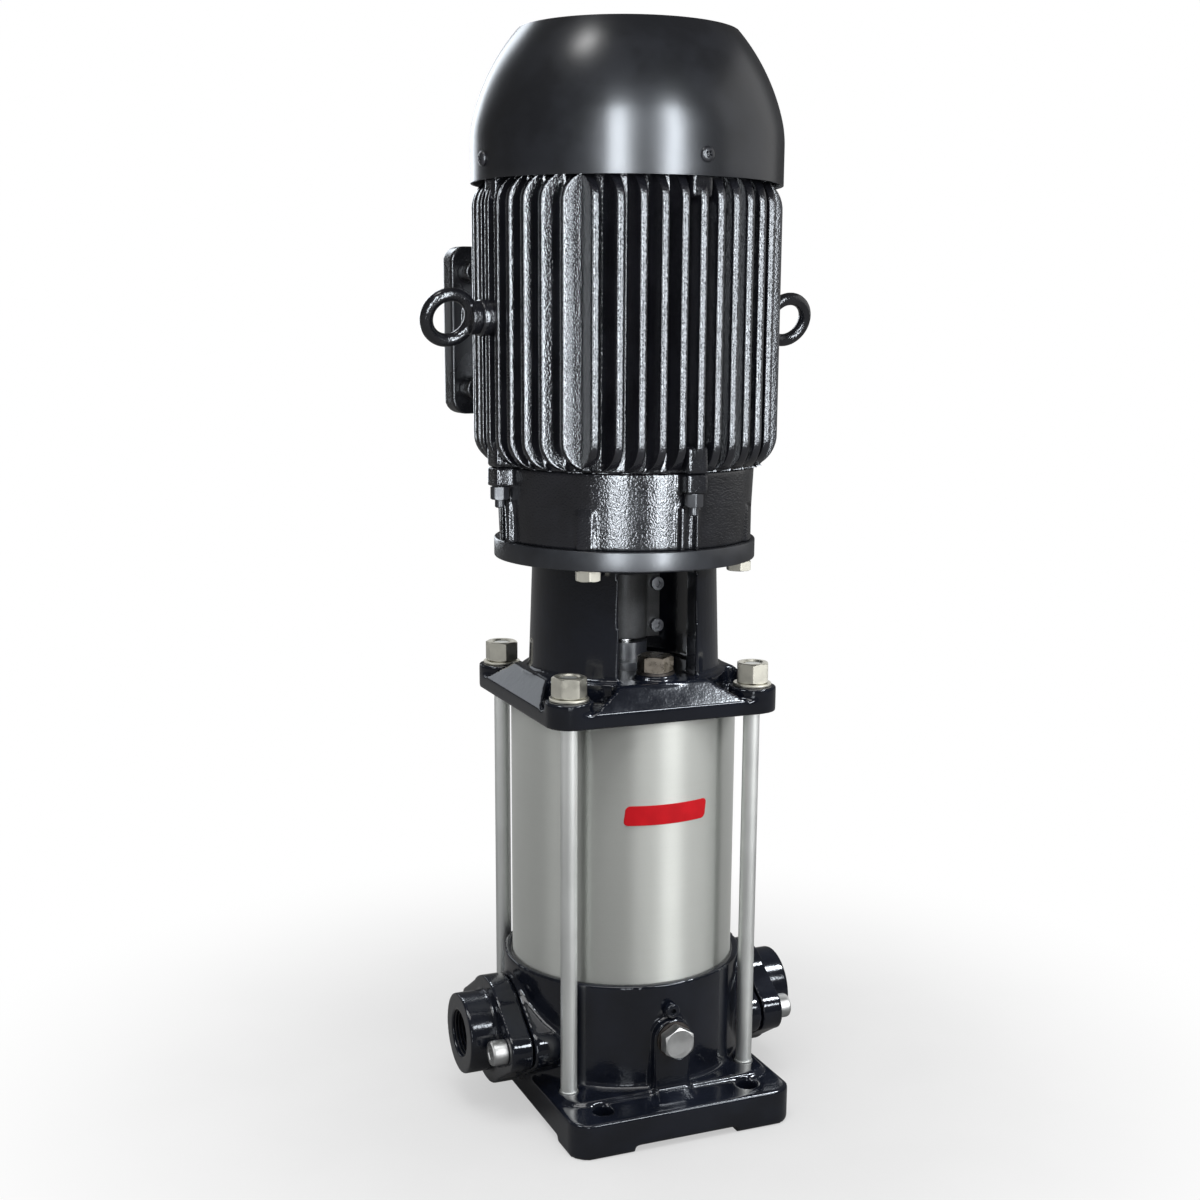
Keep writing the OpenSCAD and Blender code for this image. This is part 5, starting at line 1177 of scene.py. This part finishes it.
class MakeStage(bpy.types.Operator):
    """Make the pale floor, the white surroundings, the lamps and the camera"""
    bl_idname = "pump.make_stage"
    bl_label = "Stage"

    def execute(self, context):
        scene = context.scene
        scene.view_settings.view_transform = "Standard"
        self.floor()
        self.world(scene)
        self.lamps()
        self.camera(scene)
        return {"FINISHED"}

    def floor(self):
        """Lit near the pump, and white where it has to meet the white surroundings"""
        bm = bmesh.new()
        bmesh.ops.create_grid(bm, x_segments=8, y_segments=8, size=6.0)
        bmesh.ops.translate(bm, verts=bm.verts, vec=(0, 0, -0.2 * MM))
        floor = from_bmesh("floor", bm)
        made = bpy.data.materials.new("pale_floor")
        tree = fresh_tree(made)
        place = add(tree, "ShaderNodeTexCoord").outputs["Object"]
        away = add(tree, "ShaderNodeVectorMath", {0: place}, operation="LENGTH").outputs["Value"]
        seen = seen_by_camera(tree)
        white_share = Flow(tree, away).smooth(0.12, 0.5, 0.5, 1.0) * seen
        cloud = noise(tree, place, 9.0).smooth(0.3, 0.7, 0.29, 0.31) * (seen * 2.0 + 1.0)
        tint = add(tree, "ShaderNodeCombineColor", {0: cloud, 1: cloud, 2: cloud})
        matte = add(tree, "ShaderNodeBsdfDiffuse", {"Color": tint})
        white = add(tree, "ShaderNodeEmission", {"Color": (*WHITE, 1), "Strength": 1.0})
        mixed = add(tree, "ShaderNodeMixShader", {0: white_share, 1: matte, 2: white})
        add(tree, "ShaderNodeOutputMaterial", {"Surface": mixed})
        floor.data.materials.append(made)

    def world(self, scene):
        """White to the camera, a soft light on the pump, and nearly dark in its shine"""
        scene.world = bpy.data.worlds.new("studio")
        tree = fresh_tree(scene.world)
        white, light, shine = (
            add(tree, "ShaderNodeBackground", {"Color": (*WHITE, 1), "Strength": strength})
            for strength in (1.0, 0.5, 0.09))
        glossy = add(tree, "ShaderNodeLightPath").outputs["Is Glossy Ray"]
        lit = add(tree, "ShaderNodeMixShader", {0: glossy, 1: light, 2: shine})
        mixed = add(tree, "ShaderNodeMixShader", {0: seen_by_camera(tree), 1: lit, 2: white})
        add(tree, "ShaderNodeOutputWorld", {"Surface": mixed})

    def lamps(self):
        """The motor, the steel and the enamel each have lamps of their own"""
        pieces = [ob for ob in bpy.context.scene.objects if ob.type == "MESH"
                  and len(ob.data.vertices) and ob.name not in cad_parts]
        # What lies wholly above this height, just under the ring, is lit with the motor
        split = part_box("adapter_plate")[0].z - 2 * MM
        motor = [ob for ob in pieces if min(v.co.z for v in ob.data.vertices) > split]
        steel = [ob for ob in pieces if ob not in motor and self.finish_kind(ob) in STEEL_KINDS]
        enamel_pieces = [ob for ob in pieces if ob not in motor + steel]
        fins = bpy.data.objects["frame_fins"]
        # Name, degrees from straight ahead, height, distance, width and tallness in metres,
        # strength, height aimed at, colour; each group is kept off the pieces before it
        for flagged, rows in (
            (steel + enamel_pieces, (
                ("motor_left", -29, 0.72, 1.4, 0.23, 1.4, 24.0, 0.72, COOL),
                ("motor_right", 9, 0.72, 1.4, 0.23, 1.4, 25.0, 0.72, COOL),
                ("motor_side", 80, 1.0, 1.8, 2.2, 1.7, 0.55, 0.5, WHITE),
                ("motor_top", -84, 2.2, 0.78, 0.32, 0.32, 11.0, 0.6, WHITE),
                ("motor_back", 186, 0.9, 1.6, 0.5, 1.4, 5.0, 0.65, COOL),
            )),
            ([ob for ob in pieces if ob != fins], (
                ("fin_face", 34, 0.7, 1.6, 0.4, 1.3, 12.0, 0.7, COOL),
            )),
            (motor + enamel_pieces, (
                ("steel_right_wall", 35, 1.2, 1.9, 3.8, 2.4, 1.9, 1.2, WHITE),
                ("steel_left_wall", -52, 1.2, 1.9, 3.8, 2.4, 0.75, 1.2, WHITE),
                ("steel_rear_left_wall", -142, 1.2, 1.9, 3.8, 2.4, 0.75, 1.2, WHITE),
                ("steel_rear_right_wall", 128, 1.2, 1.9, 3.8, 2.4, 0.85, 1.2, WHITE),
                ("steel_core", 28, 1.2, 1.9, 0.7, 2.4, 2.3, 1.2, WHITE),
                ("steel_left", -92, 1.2, 1.9, 0.7, 2.4, 0.7, 1.2, WHITE),
            )),
            (motor + steel + [bpy.data.objects["floor"]], (
                ("enamel_left", -75, 1.7, 1.3, 0.3, 0.5, 16.0, 0.2, COOL),
                ("enamel_front", 25, 1.0, 1.5, 0.5, 0.25, 20.0, 0.2, COOL),
                ("enamel_spot", 58, 1.7, 1.2, 0.3, 0.3, 60.0, 0.2, COOL),
                ("enamel_low", -17, 0.4, 1.6, 0.3, 0.7, 3.0, 0.2, COOL),
                ("enamel_back", -155, 0.75, 1.5, 1.0, 0.5, 0.9, 0.28, COOL),
                ("enamel_rear", 175, 1.9, 1.3, 0.6, 0.3, 16.0, 0.2, COOL),
            )),
            (motor, (
                ("overhead", -20, 2.3, 0.7, 1.4, 1.0, 3.0, 0.38, WHITE),
            )),
        ):
            for row in rows:
                keep_off(lamp(*row), flagged)

    def finish_kind(self, ob):
        """The last word of the name of a piece's material, without Blender's number"""
        return ob.data.materials[0].name.split(".")[0].split("_")[-1]

    def camera(self, scene):
        studio = scene.pump_studio
        data = bpy.data.cameras.new("camera")
        data.sensor_width = 36.0
        data.lens = studio.camera_lens
        data.shift_x, data.shift_y = studio.camera_shift
        data.clip_start, data.clip_end = 0.05, 50.0
        camera = bpy.data.objects.new("camera", data)
        scene.collection.objects.link(camera)
        aside = Vector((math.sin(studio.camera_turn), -math.cos(studio.camera_turn), 0))
        camera.location = aside * studio.camera_distance + Vector((0, 0, studio.camera_height))
        camera.rotation_euler = (math.pi / 2 - studio.camera_tilt, 0.0, studio.camera_turn)
        camera.rotation_euler.rotate_axis("Z", studio.camera_roll)
        scene.camera = camera


# ---------------------------------------------------------------- panel


STEPS = (MakeFinishes, MakeCastings, MakePorts, MakeSleeve, MakeRods, MakeRing, MakeFrame,
         MakeMotorScrews, MakeCover, DressInside, MakeStage)
SETTINGS = {"pump_sizes": PumpSizes, "motor_sizes": MotorSizes, "pump_colours": FinishColours,
            "pump_studio": StudioSettings}


class PumpPanel(bpy.types.Panel):
    """Lists the steps that dress the pump, and their settings"""
    bl_idname = "VIEW3D_PT_pump"
    bl_label = "Vertical Pump"
    bl_space_type = "VIEW_3D"
    bl_region_type = "UI"
    bl_category = "Pump"

    def draw(self, context):
        for step in STEPS:
            self.layout.operator(step.bl_idname)
        for place, kind in SETTINGS.items():
            box = self.layout.box()
            for name in kind.__annotations__:
                box.prop(getattr(context.scene, place), name)


def register():
    for kind in (*SETTINGS.values(), *STEPS, PumpPanel):
        bpy.utils.register_class(kind)
    for place, kind in SETTINGS.items():
        setattr(bpy.types.Scene, place, PointerProperty(type=kind))


def unregister():
    for place in SETTINGS:
        delattr(bpy.types.Scene, place)
    for kind in reversed((*SETTINGS.values(), *STEPS, PumpPanel)):
        bpy.utils.unregister_class(kind)


def main():
    register()
    for step in STEPS:
        group, name = step.bl_idname.split(".")
        getattr(getattr(bpy.ops, group), name)()


if __name__ == "__main__":
    main()
